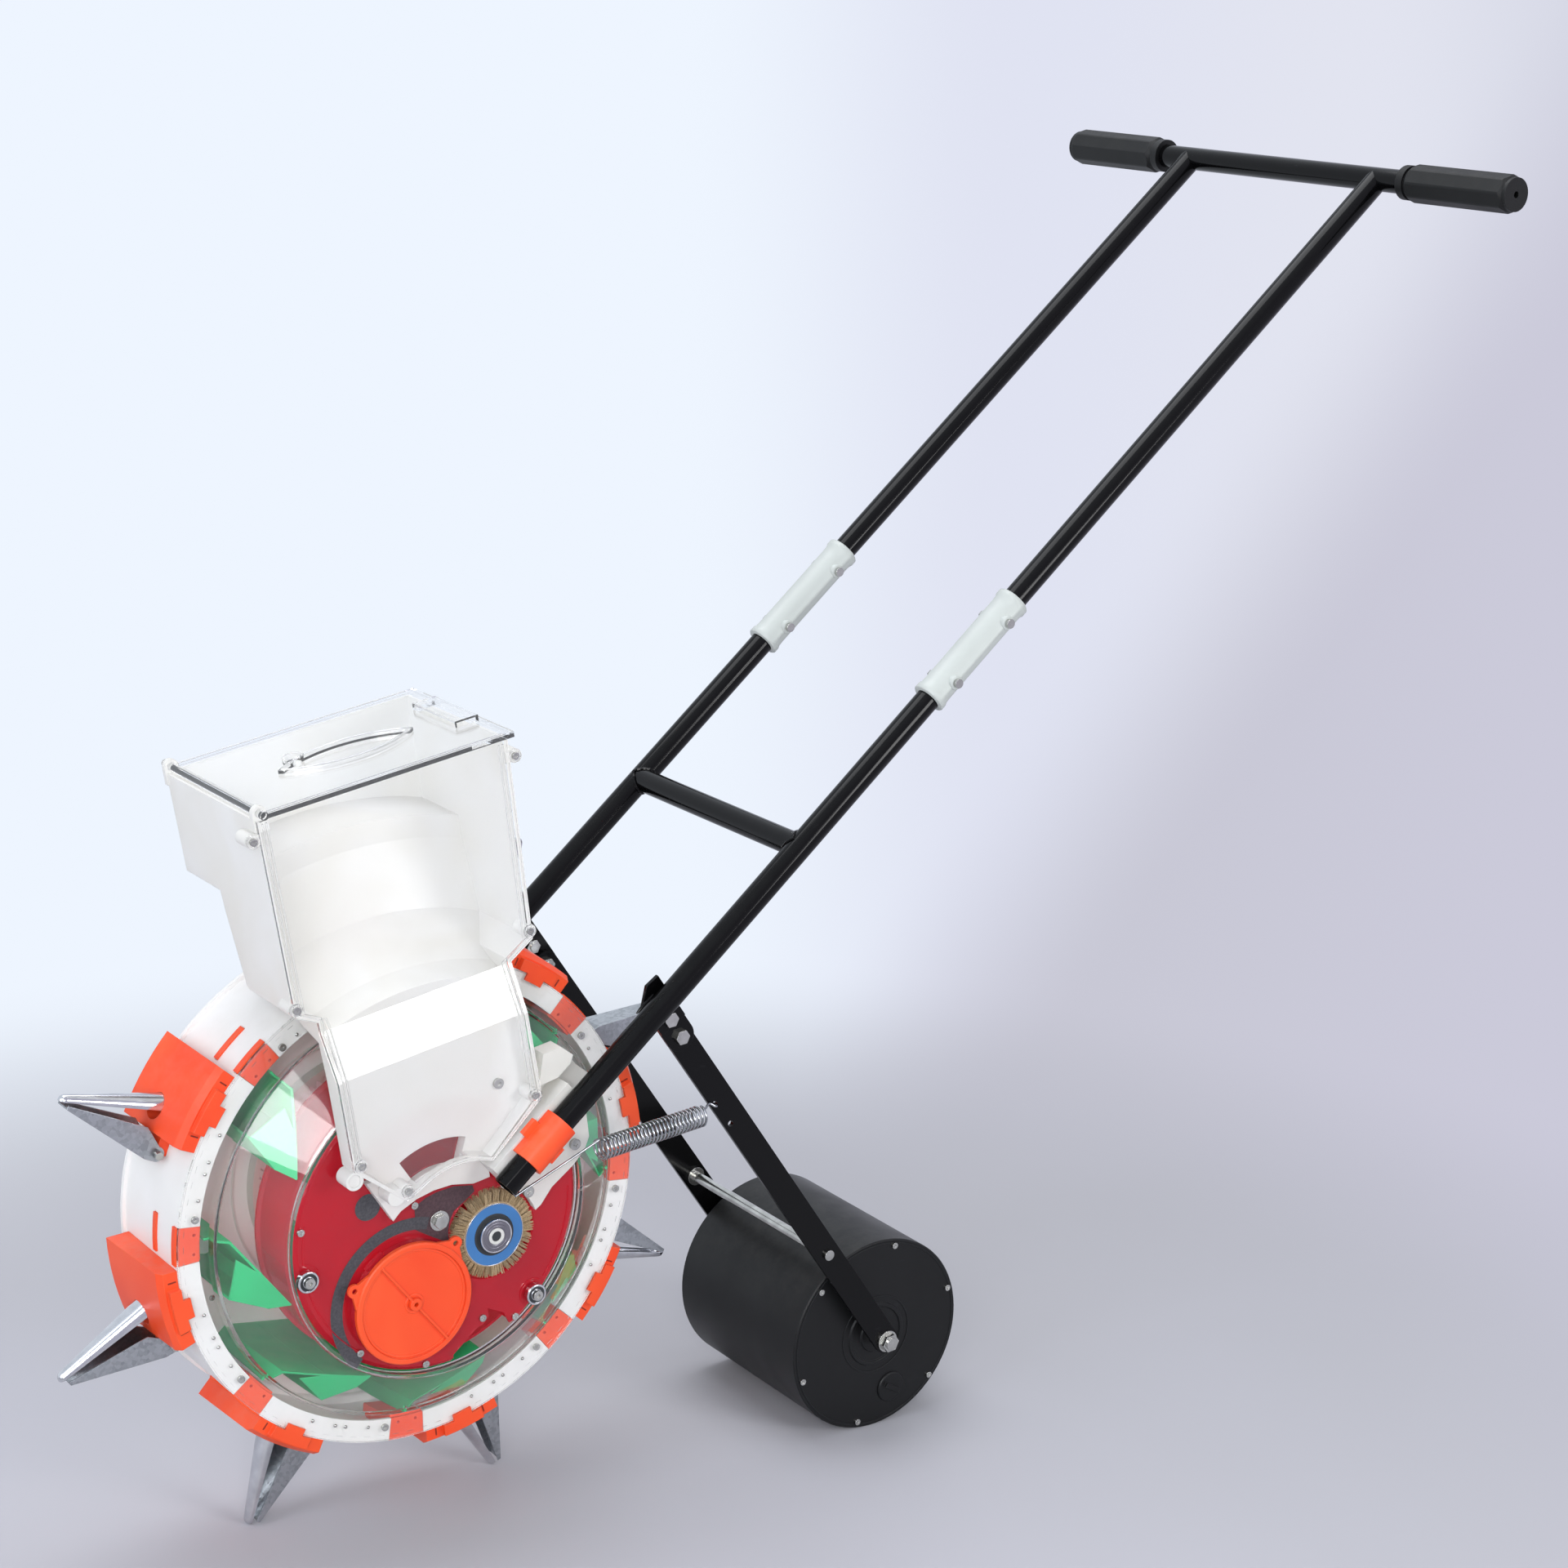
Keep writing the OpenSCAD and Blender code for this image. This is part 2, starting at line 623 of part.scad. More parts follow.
function bearing_place(a) = [bearing_circle_r * cos(a), bearing_circle_r * sin(a)];
module at_bearing(i) let (p = bearing_place(bearing_at[i])) translate([p[0], 0, p[1]]) children();

housing_wall = 2.8;
bayonet_lugs = [[118.5, 10], [-26, 19]];     // direction and half width, in degrees
inlet_half = 24;
inlet_r0 = 52;
inlet_r1 = 78;

module inlet_window(y0, y1)
    rotate([0, -90, 0]) turned(from = -inlet_half, sweep = 2 * inlet_half)
        polygon([[inlet_r0, y0], [inlet_r1, y0], [inlet_r1, y1], [inlet_r0, y1]]);

// The near plate is cut away below, between the metering housing and the right bearing
module plate_cut() polygon([[31, -99], [46, -110], [49, -121], [58, -124], [70, -128], [70, -150],
    [-12, -150], [-8, -128], [18, -113], [24, -112], [31, -107]]);

brush_well = 2.2;

module seed_chamber() color("firebrick", 0.8)
    chassis() difference() {
        union() {
            difference() {
                turned(180) polygon([[0, chamber_near_y], [chamber_r - 4, chamber_near_y],
                    [chamber_r, chamber_near_y + 4], [chamber_r, chamber_far_y - 4],
                    [chamber_r + 3, chamber_far_y - 3], [chamber_r + 3, chamber_far_y],
                    [0, chamber_far_y], [0, chamber_far_y - chamber_wall],
                    [chamber_r - chamber_wall, chamber_far_y - chamber_wall],
                    [chamber_r - chamber_wall, chamber_near_y + chamber_wall],
                    [0, chamber_near_y + chamber_wall]]);
                slab(chamber_near_y - 1, chamber_near_y + 20) plate_cut();
            }
            at_cap() turned() polygon([[housing_r, housing_y], [housing_r + housing_wall, housing_y],
                [housing_r + housing_wall, chamber_far_y - 1], [housing_r, chamber_far_y - 1]]);
            at_brush() bar(shaft_r + 4, chamber_near_y + 14, gear_near_y - 1.5);
            at_cap() bar(shaft_r + 4, chamber_far_y - 2, gear_near_y - 1.5);
            bar(axle_r + 4, chamber_near_y + 1, gear_near_y - 5);
            for (i = [0 : 2]) at_bearing(i) bar(6, chamber_near_y - 1, chamber_near_y + 14);
            for (lug = bayonet_lugs) at_cap()
                turned(64, lug[0] - lug[1], 2 * lug[1]) polygon([[housing_r + 1, housing_y + 1.5],
                    [housing_r + housing_wall + 4, housing_y + 1.5],
                    [housing_r + housing_wall + 4, housing_y + 5], [housing_r + 1, chamber_near_y + 1]]);
        }
        at_cap() bar(housing_r, chamber_near_y - 20, chamber_near_y + 30, round_fn);
        at_cap() bar(shaft_r + shaft_fit, -100, 60);
        at_brush() bar(brush_r + brush_well, chamber_near_y - 20, chamber_near_y + 12, round_fn);
        at_brush() bar(shaft_r + shaft_fit, -100, 60);
        bar(axle_r + seat_gap, -100, 60);
        for (i = [0 : 2]) at_bearing(i) bar(guide_bolt_r + seat_gap, chamber_near_y - 5, chamber_near_y + 12);
        inlet_window(chamber_near_y - 1, chamber_near_y + 4);
        chamber_screw_holes() bar(screw_r + seat_gap, chamber_near_y - 1, chamber_near_y + 5, 24);
    }

module chamber_screws() color("silver") chassis() chamber_screw_holes() screw(chamber_near_y, len = 5);

axle_head_y = chamber_near_y;
far_bracket_y = drum_far_y + 3 + free_gap;

module wheel_axle() color("silver") chassis() {
    bar(axle_r, axle_head_y, far_bracket_y + 12);
    bar(9, axle_head_y - 1.5, axle_head_y);
    bar(6.5, axle_head_y - 5.5, axle_head_y - 1.5, 6);
}

// The third bearing runs behind the hopper's plate, so its bolt passes through that plate
hopper_plate_y = chamber_near_y - 8;
guide_head_y = [chamber_near_y - 7.4, chamber_near_y - 7.4, hopper_plate_y - hopper_wall];
guide_bolt_r = 3;

module guide_bolts() color("silver") chassis()
    for (i = [0 : 2]) at_bearing(i) {
        bar(guide_bolt_r, guide_head_y[i] - 1, chamber_near_y + 10);
        difference() {
            bar(4.6, guide_head_y[i] - 2.6, guide_head_y[i]);
            bar(2, guide_head_y[i] - 3.6, guide_head_y[i] - 1.2, 6);
        }
    }

module guide_bearing(i) color("gainsboro") chassis() at_bearing(i)
    turned(64) polygon([[guide_bolt_r + shaft_fit, chamber_near_y - 7.1], [5, chamber_near_y - 7.1],
        [5.4, chamber_near_y - 6.4], [7.4, chamber_near_y - 6.4], [7.8, chamber_near_y - 7.1],
        [bearing_r - 0.5, chamber_near_y - 7.1], [bearing_r, chamber_near_y - 6.6],
        [bearing_r, chamber_near_y - 1.8], [bearing_r - 0.5, chamber_near_y - 1.3],
        [guide_bolt_r + shaft_fit, chamber_near_y - 1.3]]);

module guide_bearing_a() guide_bearing(0);
module guide_bearing_b() guide_bearing(1);
module guide_bearing_c() guide_bearing(2);

// Seed metering

seed_roller_near_y = chamber_near_y - 1;
seed_roller_far_y = chamber_far_y - chamber_wall - 6;

module seed_roller() color("white") chassis() at_cap() {
    difference() {
        bar(roller_cell_r, seed_roller_near_y, seed_roller_far_y, round_fn);
        for (k = [0 : seed_cells - 1])
            rotate([0, k * 360 / seed_cells, 0])
                translate([roller_cell_r + 1, (seed_roller_near_y + seed_roller_far_y) / 2, 0])
                    rotate([0, 90, 0]) cylinder(h = 12, r = 6, center = true, $fn = small_fn);
        difference() {
            bar(roller_cell_r - 10, seed_roller_near_y - 1, seed_roller_near_y + 8, round_fn);
            bar(10, seed_roller_near_y - 2, seed_roller_near_y + 9);
        }
    }
    bar(shaft_r, seed_roller_far_y - 1, gear_far_y);
}

module metering_gear() color("gainsboro") chassis() at_cap()
    shaft_gear(metering_teeth, cap_at, shaft_r + seat_gap);

cap_back_y = housing_y - free_gap;
cap_plate_t = 3;
cap_ear_at = [39, 147];

module metering_cap() color("darkorange") chassis() at_cap() {
    difference() {
        union() {
            turned() polygon([[0, cap_back_y], [0, cap_back_y - cap_plate_t],
                [cap_r - 5, cap_back_y - cap_plate_t], [cap_r - 5, cap_back_y - cap_plate_t - 2],
                [cap_r - 1, cap_back_y - cap_plate_t - 2], [cap_r, cap_back_y - cap_plate_t - 1],
                [cap_r, cap_back_y]]);
            turned() polygon([[housing_r - 3, cap_back_y - 1], [housing_r - 3, cap_back_y + 3],
                [housing_r - 1, cap_back_y + 3], [housing_r - 1, cap_back_y - 1]]);
            rotate([0, 61.5, 0]) slab(cap_back_y - cap_plate_t - 3, cap_back_y - 1)
                translate([-cap_r + 4, -1]) square([2 * cap_r - 8, 2]);
            bar(5.5, cap_back_y - cap_plate_t - 4, cap_back_y);
            for (a = cap_ear_at) rotate([0, -a, 0])
                slab(cap_back_y - cap_plate_t, cap_back_y) cap_ear();
        }
        bar(2, cap_back_y - 12, cap_back_y + 1, 24);
        for (a = cap_ear_at) rotate([0, -a, 0]) translate([cap_r + 6, 0, 0])
            bar(2.4, cap_back_y - 12, cap_back_y + 1, 24);
    }
}

module cap_ear() {
    translate([cap_r + 6, 0]) circle(r = 6, $fn = small_fn);
    polygon([[cap_r - 4, -18], [cap_r - 4, 18], [cap_r + 5, 6], [cap_r + 5, -6]]);
}

brush_near_y = chamber_near_y - 5.5;
bristle_thick = 1.3;
bristle_pitch = 2.6;
bristle_w = 1.2;
brush_core_r = brush_disc_r + 1.2;
brush_far_y = brush_near_y + bristle_rows * bristle_pitch;

module brush_disc() color("steelblue") chassis() at_brush() {
    difference() {
        union() {
            bar(brush_disc_r, brush_near_y, brush_far_y, round_fn);
            turned() polygon([[12.5, brush_near_y - 2], [14.5, brush_near_y - 2], [14.5, brush_near_y + 1],
                [12.5, brush_near_y + 1]]);
            turned() polygon([[8, brush_near_y - 3.4], [11, brush_near_y - 3.4], [11, brush_near_y + 1],
                [8, brush_near_y + 1]]);
            turned() polygon([[3, brush_near_y - 2.6], [5, brush_near_y - 2.6], [5, brush_near_y + 1],
                [3, brush_near_y + 1]]);
        }
        bar(shaft_r - 1, brush_near_y - 4, brush_near_y + 5);
    }
    bar(shaft_r, brush_far_y - 1, gear_far_y);
}

// A slice of the brush: a narrow backing ring with straight bristles
function bristle_ring(turn) = [for (k = [0 : bristles - 1])
    let (a = (k + turn) * 360 / bristles,
        half = asin(bristle_w / 2 / brush_core_r),
        tip = asin(bristle_w / 2 / brush_r))
    each [polar(brush_core_r, a - half), polar(brush_r, a - tip), polar(brush_r, a + tip),
        polar(brush_core_r, a + half)]];

module brush_bristles() color("tan") chassis() at_brush() {
    for (row = [0 : bristle_rows - 1])
        translate([0, brush_near_y + row * bristle_pitch + (bristle_pitch - bristle_thick) / 2, 0])
            slab(0, bristle_thick) difference() {
                polygon(bristle_ring(row % 2 / 2));
                circle(r = brush_disc_r, $fn = round_fn);
            }
    turned() polygon([[brush_disc_r, brush_near_y + 0.3], [brush_core_r, brush_near_y + 0.3],
        [brush_core_r, brush_far_y - 0.3], [brush_disc_r, brush_far_y - 0.3]]);
}

module brush_gear() color("gainsboro") chassis() at_brush()
    shaft_gear(brush_teeth, brush_at, shaft_r + seat_gap);

// The hopper

arch_mid = [4, 59.5];

// Outline of the clear panel and the hopper behind it, drawn in by "inset"
function hopper_outline(inset) = [
    [-102 + inset, hopper_top + (inset > 0 ? 5 : 0)], [124 - inset, hopper_top + (inset > 0 ? 5 : 0)],
    [119.5 - inset, 224 + inset], [96.5 - inset, 211 + inset], [93 + 6 - inset, 90 - 1 + inset],
    [44.5, 50 + inset], for (i = [1 : 5]) let (t = i / 6, u = lerp(44.5, -26, t))
        [u, 50 + inset + 9.5 * (1 - pow(2 * t - 1, 2))],
    [-26, 50 + inset], [-39 + inset / 2, 45 + inset], [-80 + inset, 88 + inset],
    [-80 + inset, slant_foot], [-82 + inset, 220 + inset], [-100 + inset, 230 + inset]];

// Side view of the hopper in (y, height): its front follows the panel and its back is upright
function hopper_side(front, back, top) = [
    [panel_upper_y + front, top], [back, top], [back, 0], [panel_lower_y + front, 0],
    [panel_lower_y + front, slant_foot], [panel_upper_y + front, slant_top]];

module along_u(u0, u1) translate([u0, 0, 0]) rotate([90, 0, 90]) linear_extrude(u1 - u0) children();

// The room that the wheel, its seats and its spikes need behind the hopper
module wheel_room(grow)
    turned(180) polygon([[0, 90], [spike_room_r + grow, 90], [spike_room_r + grow, -5 - grow],
        [312, -7 - grow], [253 + grow / 2, -20 - grow], [222 + grow, -73 - grow / 2],
        [215 + grow, hopper_plate_y - grow], [hopper_pad_r, hopper_plate_y - grow],
        if (grow == 0) [hopper_pad_r, chamber_near_y],
        [0, grow == 0 ? chamber_near_y : hopper_plate_y - grow]]);

hopper_pad_r = 112;
panel_screw_places = [[-107.5, 384], [129.5, 383], [-98, 236], [118.5, 230.5], [-73, 91], [93, 92],
    [-36, 53]];
ear_screw_r = 6;
throat_bosses = [[-79.5, 78.5], [-45.4, 50.1]];     // blind bosses at the throat's lower left
throat_boss_r = 8;

module hopper_body() color("ivory") chassis() difference() {
    union() {
        difference() {
            intersection() {
                slab(-130, 80) polygon(hopper_outline(0));
                along_u(-130, 150) polygon(hopper_side(hopper_wall, hopper_back_y, hopper_top));
            }
            wheel_room(0);
            difference() {
                intersection() {
                    slab(-140, 80) polygon(hopper_outline(hopper_wall));
                    along_u(-130, 150)
                        polygon(hopper_side(-8, hopper_back_y - hopper_wall, hopper_top + 3));
                }
                wheel_room(hopper_wall);
            }
        }
        for (i = [0 : 3]) slab(panel_upper_y + hopper_wall, ear_far_y) screw_ear(i);
        for (i = [4 : 6]) slab(panel_lower_y + hopper_wall, hopper_plate_y) screw_ear(i);
        for (p = throat_bosses) translate([p[0], 0, p[1]])
            bar(throat_boss_r, panel_lower_y + hopper_wall, hopper_plate_y);
        slab(chamber_near_y - 7, chamber_near_y) difference() {
            polygon([[-62, 62], [-44, 20], [-36, 26], [-20, 31], [-3, 32.5], [14, 31], [34, 24],
                [50, 24], [50, 62]]);
            translate([brush_u, brush_w]) circle(r = brush_r + brush_well, $fn = round_fn);
        }
        for (y = lid_ear_y) hinge_ear_up(y);
    }
    inlet_window(chamber_near_y - 20, chamber_near_y + 1);
    for (i = [0 : 3]) screw_hole(panel_screw_places[i], panel_upper_y);
    for (i = [4 : 6]) screw_hole(panel_screw_places[i], panel_lower_y);
    at_bearing(2) bar(guide_bolt_r + seat_gap, hopper_plate_y - 10, hopper_plate_y + 10);
    at_lid_hinge() bar(rod_r + shaft_fit, -130, 90);
    translate([throat_bosses[0][0], 0, throat_bosses[0][1]])
        bar(throat_boss_r - 2.5, panel_lower_y, panel_lower_y + hopper_wall + 1.2);
}

// The ear round a panel screw: outside the walls it has a neck towards the hopper
module screw_ear(i) {
    p = panel_screw_places[i];
    translate(p) circle(r = ear_screw_r, $fn = small_fn);
    if (i < 2)
        translate(p) mirror([i, 0]) translate([0, -ear_neck]) square([ear_screw_r + 1.5, 2 * ear_neck]);
}

module screw_hole(p, y) translate([p[0], 0, p[1]]) bar(screw_r + seat_gap, y - 1, y + 12, 24);

lid_hinge_u = -97;
lid_hinge_w = hopper_top + hinge_up;
module at_lid_hinge() translate([lid_hinge_u, 0, lid_hinge_w]) children();
ear_width = 5;
lid_ear_y = [panel_upper_y + hopper_wall + seat_gap, hopper_back_y - 1];

module hinge_ear_up(y) {
    at_lid_hinge() bar(rod_r + 2.6, y, y + ear_width);
    translate([lid_hinge_u - rod_r - 2.6, y, hopper_top - 10]) cube([2 * rod_r + 5.2, ear_width, 10 + hinge_up]);
}

bead = 2;
ear_neck = 4.5;
ear_far_y = -86;

module hopper_front_panel() color("whitesmoke", 0.35) chassis() difference() {
    union() {
        panel_sheet(0, 0);
        difference() {
            panel_sheet(bead, 0);
            panel_beads_cut();
        }
        for (i = [0 : 3]) slab(panel_upper_y, panel_upper_y + hopper_wall) screw_ear(i);
        for (i = [4 : 6]) slab(panel_lower_y, panel_lower_y + hopper_wall) screw_ear(i);
    }
    for (i = [0 : 6]) {
        y = i < 4 ? panel_upper_y : panel_lower_y;
        screw_hole(panel_screw_places[i], y);
        translate([panel_screw_places[i][0], 0, panel_screw_places[i][1]])
            bar(screw_head_r + 0.4, y - 10, y);
    }
    translate([lid_hinge_u, 0, lid_hinge_w]) bar(rod_r + 2.8, -130, 0);
}

module panel_sheet(proud, inset)
    intersection() {
        slab(-130, -90) polygon(hopper_outline(inset));
        along_u(-130, 150) polygon([[panel_upper_y - proud, hopper_top],
            [panel_upper_y + hopper_wall, hopper_top], [panel_upper_y + hopper_wall, slant_top],
            [panel_lower_y + hopper_wall, slant_foot], [panel_lower_y + hopper_wall, 0],
            [panel_lower_y - proud, 0], [panel_lower_y - proud, slant_foot],
            [panel_upper_y - proud, slant_top]]);
    }

module panel_beads_cut() slab(-131, -89) difference() {
    polygon(hopper_outline(3.5));
}

module hopper_screws() color("silver") chassis() {
    for (i = [0 : 3]) translate([panel_screw_places[i][0], 0, panel_screw_places[i][1]])
        screw(panel_upper_y, len = 8);
    for (i = [4 : 6]) translate([panel_screw_places[i][0], 0, panel_screw_places[i][1]])
        screw(panel_lower_y, len = 8);
}

lid_near_y = panel_upper_y - 1.5;
lid_far_y = hopper_back_y + 3;
lid_right_u = 131;
lid_under = hopper_top + lid_gap;
lid_top = lid_under + lid_t;

module hopper_lid() color("whitesmoke", 0.35) chassis() {
    difference() {
        union() {
            translate([lid_hinge_u, lid_near_y, lid_under])
                cube([lid_right_u - lid_hinge_u, lid_far_y - lid_near_y, lid_t]);
            lid_frame(0, 3, 2);
            lid_frame(5, 1.5, 1);
            translate([18, -30, lid_top]) lens(62, 24, 3);
            translate([106, -55, lid_under]) cube([22, 72, 8.5]);
            translate([-22, -14, lid_under]) cylinder(h = lid_t + 5, r = 9, $fn = small_fn);
            at_lid_hinge() bar(rod_r, panel_upper_y - 7, lid_far_y + 8);
            at_lid_hinge() translate([0, lid_near_y + 7.5, -hinge_up + lid_gap])
                cube([rod_r, lid_far_y - lid_near_y - 15, hinge_up]);
        }
        translate([18, -30, lid_top - 1]) lens(57, 19, 6);
        translate([108, -53, lid_under - 1]) cube([18, 68, 7.5]);
        translate([-22, -14, lid_under + 2]) cylinder(h = 10, r = 6.5, $fn = small_fn);
        at_lid_hinge() for (y = lid_ear_y)
            translate([-12, y - 0.5, -9]) cube([12 + rod_r + 3.2, ear_width + 1, 16]);
    }
    at_lid_hinge() bar(rod_r, panel_upper_y - 7, lid_far_y + 8);
}

// A raised edge round the lid's top
module lid_frame(inset, w, h) {
    du = lid_right_u - lid_hinge_u - 2 * inset;
    dy = lid_far_y - lid_near_y - 2 * inset;
    translate([lid_hinge_u + inset, lid_near_y + inset, lid_top - 0.01]) difference() {
        cube([du, dy, h]);
        translate([w, w, -1]) cube([du - 2 * w, dy - 2 * w, h + 2]);
    }
}

// A pointed oval lying flat, where two arcs meet
module lens(half_len, half_w, h) {
    r = (half_len * half_len + half_w * half_w) / (2 * half_w);
    intersection() {
        translate([0, r - half_w, 0]) cylinder(h = h, r = r, $fn = round_fn);
        translate([0, half_w - r, 0]) cylinder(h = h, r = r, $fn = round_fn);
    }
}

// The handle

// Along a handle tube: +X runs up the tube from its lower end, on the near or far side
module along_tube(side) chassis() translate([tube_u, side * tube_y, tube_w])
    rotate([0, -handle_slope, 0]) children();

module rod_x(r, x0, x1, fn = 48) translate([x0, 0, 0]) rotate([0, 90, 0]) cylinder(h = x1 - x0, r = r, $fn = fn);

tube_r = tube_d / 2;
tube_inner_r = tube_r - tube_wall;
sleeve_to = sleeve_from + sleeve_len;
sleeve_mid = (sleeve_from + sleeve_to) / 2;
sleeve_bolt_at = [sleeve_from + 24, sleeve_to - 24];

module tube_piece(side, from, to) along_tube(side) difference() {
    rod_x(tube_r, from, to);
    rod_x(tube_inner_r, from - 1, to + 1);
}

module lower_tube(side) color("black") difference() {
    tube_piece(side, 0, sleeve_mid - 0.5);
    along_tube(side) translate([sleeve_bolt_at[0], 0, 0]) bar(2.6, -30, 30, 24);
}

module upper_tube(side) color("black") difference() {
    tube_piece(side, sleeve_mid + 0.5, t_bar_at);
    along_tube(side) {
        translate([sleeve_bolt_at[1], 0, 0]) bar(2.6, -30, 30, 24);
        translate([t_bar_at, 0, 0]) bar(tube_r, -30, 30, 48);
    }
}

module lower_tube_near() lower_tube(-1);
module lower_tube_far() lower_tube(1);
module upper_tube_near() upper_tube(-1);
module upper_tube_far() upper_tube(1);

module cross_bar() color("black") difference() {
    along_tube(0) translate([cross_at, 0, 0]) difference() {
        bar(tube_r, -tube_y, tube_y, 48);
        bar(tube_inner_r, -tube_y - 1, tube_y + 1, 48);
    }
    for (side = [-1, 1]) along_tube(side) rod_x(tube_r, cross_at - 60, cross_at + 60);
}

module t_bar() color("black") along_tube(0) translate([t_bar_at, 0, 0]) difference() {
    bar(tube_r, -grip_end_y + 4, grip_end_y - 4, 48);
    bar(tube_inner_r, -grip_end_y, grip_end_y, 48);
}

grip_collar = 8;

module grip(side) along_tube(0) translate([t_bar_at, 0, 0]) mirrored(side) difference() {
    union() {
        intersection() {
            bar(grip_d / 2 / cos(22.5), -grip_end_y + 4, -grip_end_y + grip_len - grip_collar, 8);
            turned(48) polygon([[0, -grip_end_y + 2], [grip_d / 2 - 1, -grip_end_y + 4],
                [grip_d / 2 + 1, -grip_end_y + 7], [grip_d / 2 + 1, -grip_end_y + grip_len - grip_collar - 6],
                [grip_d / 2 - 3, -grip_end_y + grip_len - grip_collar], [0, -grip_end_y + grip_len]]);
        }
        bar(grip_d / 2 - 1.2, -grip_end_y, -grip_end_y + 8, 48);
        bar(grip_d / 2 - 0.6, -grip_end_y + grip_len - grip_collar, -grip_end_y + grip_len, 48);
        bar(grip_d / 2 - 3, -grip_end_y + grip_len - grip_collar - 3, -grip_end_y + grip_len - 2, 48);
    }
    bar(tube_r + 0.05, -grip_end_y + 4, 0, 48);
    bar(3, -grip_end_y - 1, -grip_end_y + 6, 24);
}

module grips() color("black") for (side = [-1, 1]) grip(side);

module joining_sleeves() color("white") for (side = [-1, 1]) along_tube(side) difference() {
    union() {
        rod_x(tube_r + 3.5, sleeve_from, sleeve_to);
        rod_x(tube_r + 5, sleeve_from, sleeve_from + 7);
        rod_x(tube_r + 5, sleeve_to - 7, sleeve_to);
        for (x = sleeve_bolt_at) translate([x, 0, 0]) bar(6.5, -tube_r - 6, tube_r + 6);
        for (s = [-1, 1]) translate([sleeve_from + 3, s * (tube_r + 3.5) - 1.5, -1.5])
            cube([sleeve_len - 6, 3, 3]);
        translate([sleeve_from + 3, -1.5, -tube_r - 6]) cube([sleeve_len - 6, 3, 2 * tube_r + 12]);
    }
    rod_x(tube_r + seat_gap, sleeve_from - 1, sleeve_to + 1);
    for (x = sleeve_bolt_at) translate([x, 0, 0]) bar(2.6, -30, 30, 24);
}

module sleeve_bolts() color("silver") for (side = [-1, 1]) along_tube(side)
    for (x = sleeve_bolt_at) translate([x, 0, 0]) {
        bar(2.5, -tube_r - 7, tube_r + 9, 24);
        bar(4.2, -tube_r - 9.5, -tube_r - 6, 24);
        bar(4.4, tube_r + 6, tube_r + 9.5, 6);
    }

// The white handle bracket: a base plate, a cradle under the tube and stiffening ribs
bracket_outline = [[62, -22], [72, -30], [93, -20], [106, -8], [130, 4], [143, 14], [149, 24],
    [150, 60], [157, 82], [146, 95], [138, 111], [128, 122], [110, 122], [101, 110], [101, 95],
    [58, 38]];
bracket_plate = [-98, -94.2];
clamp_screw_u = [[133.3, 23.1], [82.2, -2.3]];
clamp_screw_len = cover_lip_y - bracket_plate[0] - 0.8;
cradle_half = 17;
cradle_from = 4;
cradle_to = 100;

module bracket_near() color("ivory") difference() {
    union() {
        chassis() slab(bracket_plate[0], bracket_plate[1]) polygon(bracket_outline);
        along_tube(-1) translate([cradle_from, 6, -cradle_half])
            cube([cradle_to - cradle_from, tube_y + bracket_plate[0] - 6 + 1, 2 * cradle_half]);
        chassis() slab(-112, bracket_plate[1]) polygon([[101, 95], [110, 122], [128, 122], [138, 111],
            [134, 104], [120, 96]]);
        chassis() slab(bracket_plate[1] - 1, chamber_near_y) polygon([[64, -20], [72, -28], [92, -19],
            [104, -8], [118, 2], [122, 12], [96, 40], [68, 22]]);
    }
    along_tube(-1) rod_x(tube_r + seat_gap, -20, cradle_to + 20);
    along_tube(-1) for (z = [-11.5, 0.8]) translate([cradle_from + 6, 13, z])
        cube([cradle_to - cradle_from - 12, 4, 10.7]);
    for (p = clamp_screw_u) chassis() translate([p[0], 0, p[1]]) bar(2.1, -120, -80, 24);
    chassis() at_brush() bar(brush_r + brush_well, -130, -80, round_fn);
}

far_plate = [far_bracket_y, far_bracket_y + 6];

module bracket_far() color("ivory") difference() {
    union() {
        chassis() slab(far_plate[0], far_plate[1]) {
            circle(r = 26, $fn = round_fn);
            polygon([[-8, -24], [24, -22], [130, 4], [149, 24], [146, 92], [128, 110], [101, 95], [-18, 19]]);
        }
        along_tube(1) translate([cradle_from, -(tube_y - far_plate[0]), -cradle_half])
            cube([cradle_to - cradle_from, tube_y - far_plate[0] - 6, 2 * cradle_half]);
    }
    along_tube(1) rod_x(tube_r + seat_gap, -20, cradle_to + 20);
    along_tube(1) for (z = [-14, 2]) translate([cradle_from + 4, -(tube_y - far_plate[1]) + 3, z])
        cube([cradle_to - cradle_from - 8, 34, 12]);
    chassis() bar(axle_r + seat_gap, 40, 120);
}

clamp_wall = 4;
clamp_half = 19;

module tube_clamp(side) along_tube(side) mirrored(side) difference() {
    union() {
        rod_x(tube_r + clamp_wall, clamp_at - clamp_len / 2, clamp_at + clamp_len / 2);
        translate([clamp_at - clamp_len / 2, 0, -tube_r - clamp_wall])
            cube([clamp_len, 5.8, 2 * (tube_r + clamp_wall)]);
        for (s = [-1, 1]) translate([clamp_at - 8, 0.8, s * 18.5 - 3.5]) cube([16, 5, 7]);
    }
    rod_x(tube_r + seat_gap, 0, 120);
    translate([clamp_at - 40, 5.8, -40]) cube([80, 40, 80]);
    translate([clamp_at - 40, 0, -tube_r + 0.5]) cube([80, 10, 2 * tube_r - 1]);
}

module tube_clamps() color("orangered") for (side = [-1, 1]) tube_clamp(side);

module clamp_screws() color("silver") {
    for (p = clamp_screw_u) chassis() translate([p[0], 0, p[1]])
        screw(bracket_plate[0], r = 2, head_r = 5, head_h = 3, len = clamp_screw_len);
    chassis() difference() {
        bar(9, far_plate[1], far_plate[1] + 4, 6);
        bar(axle_r + seat_gap, 50, 110);
    }
}

// The roller's yoke

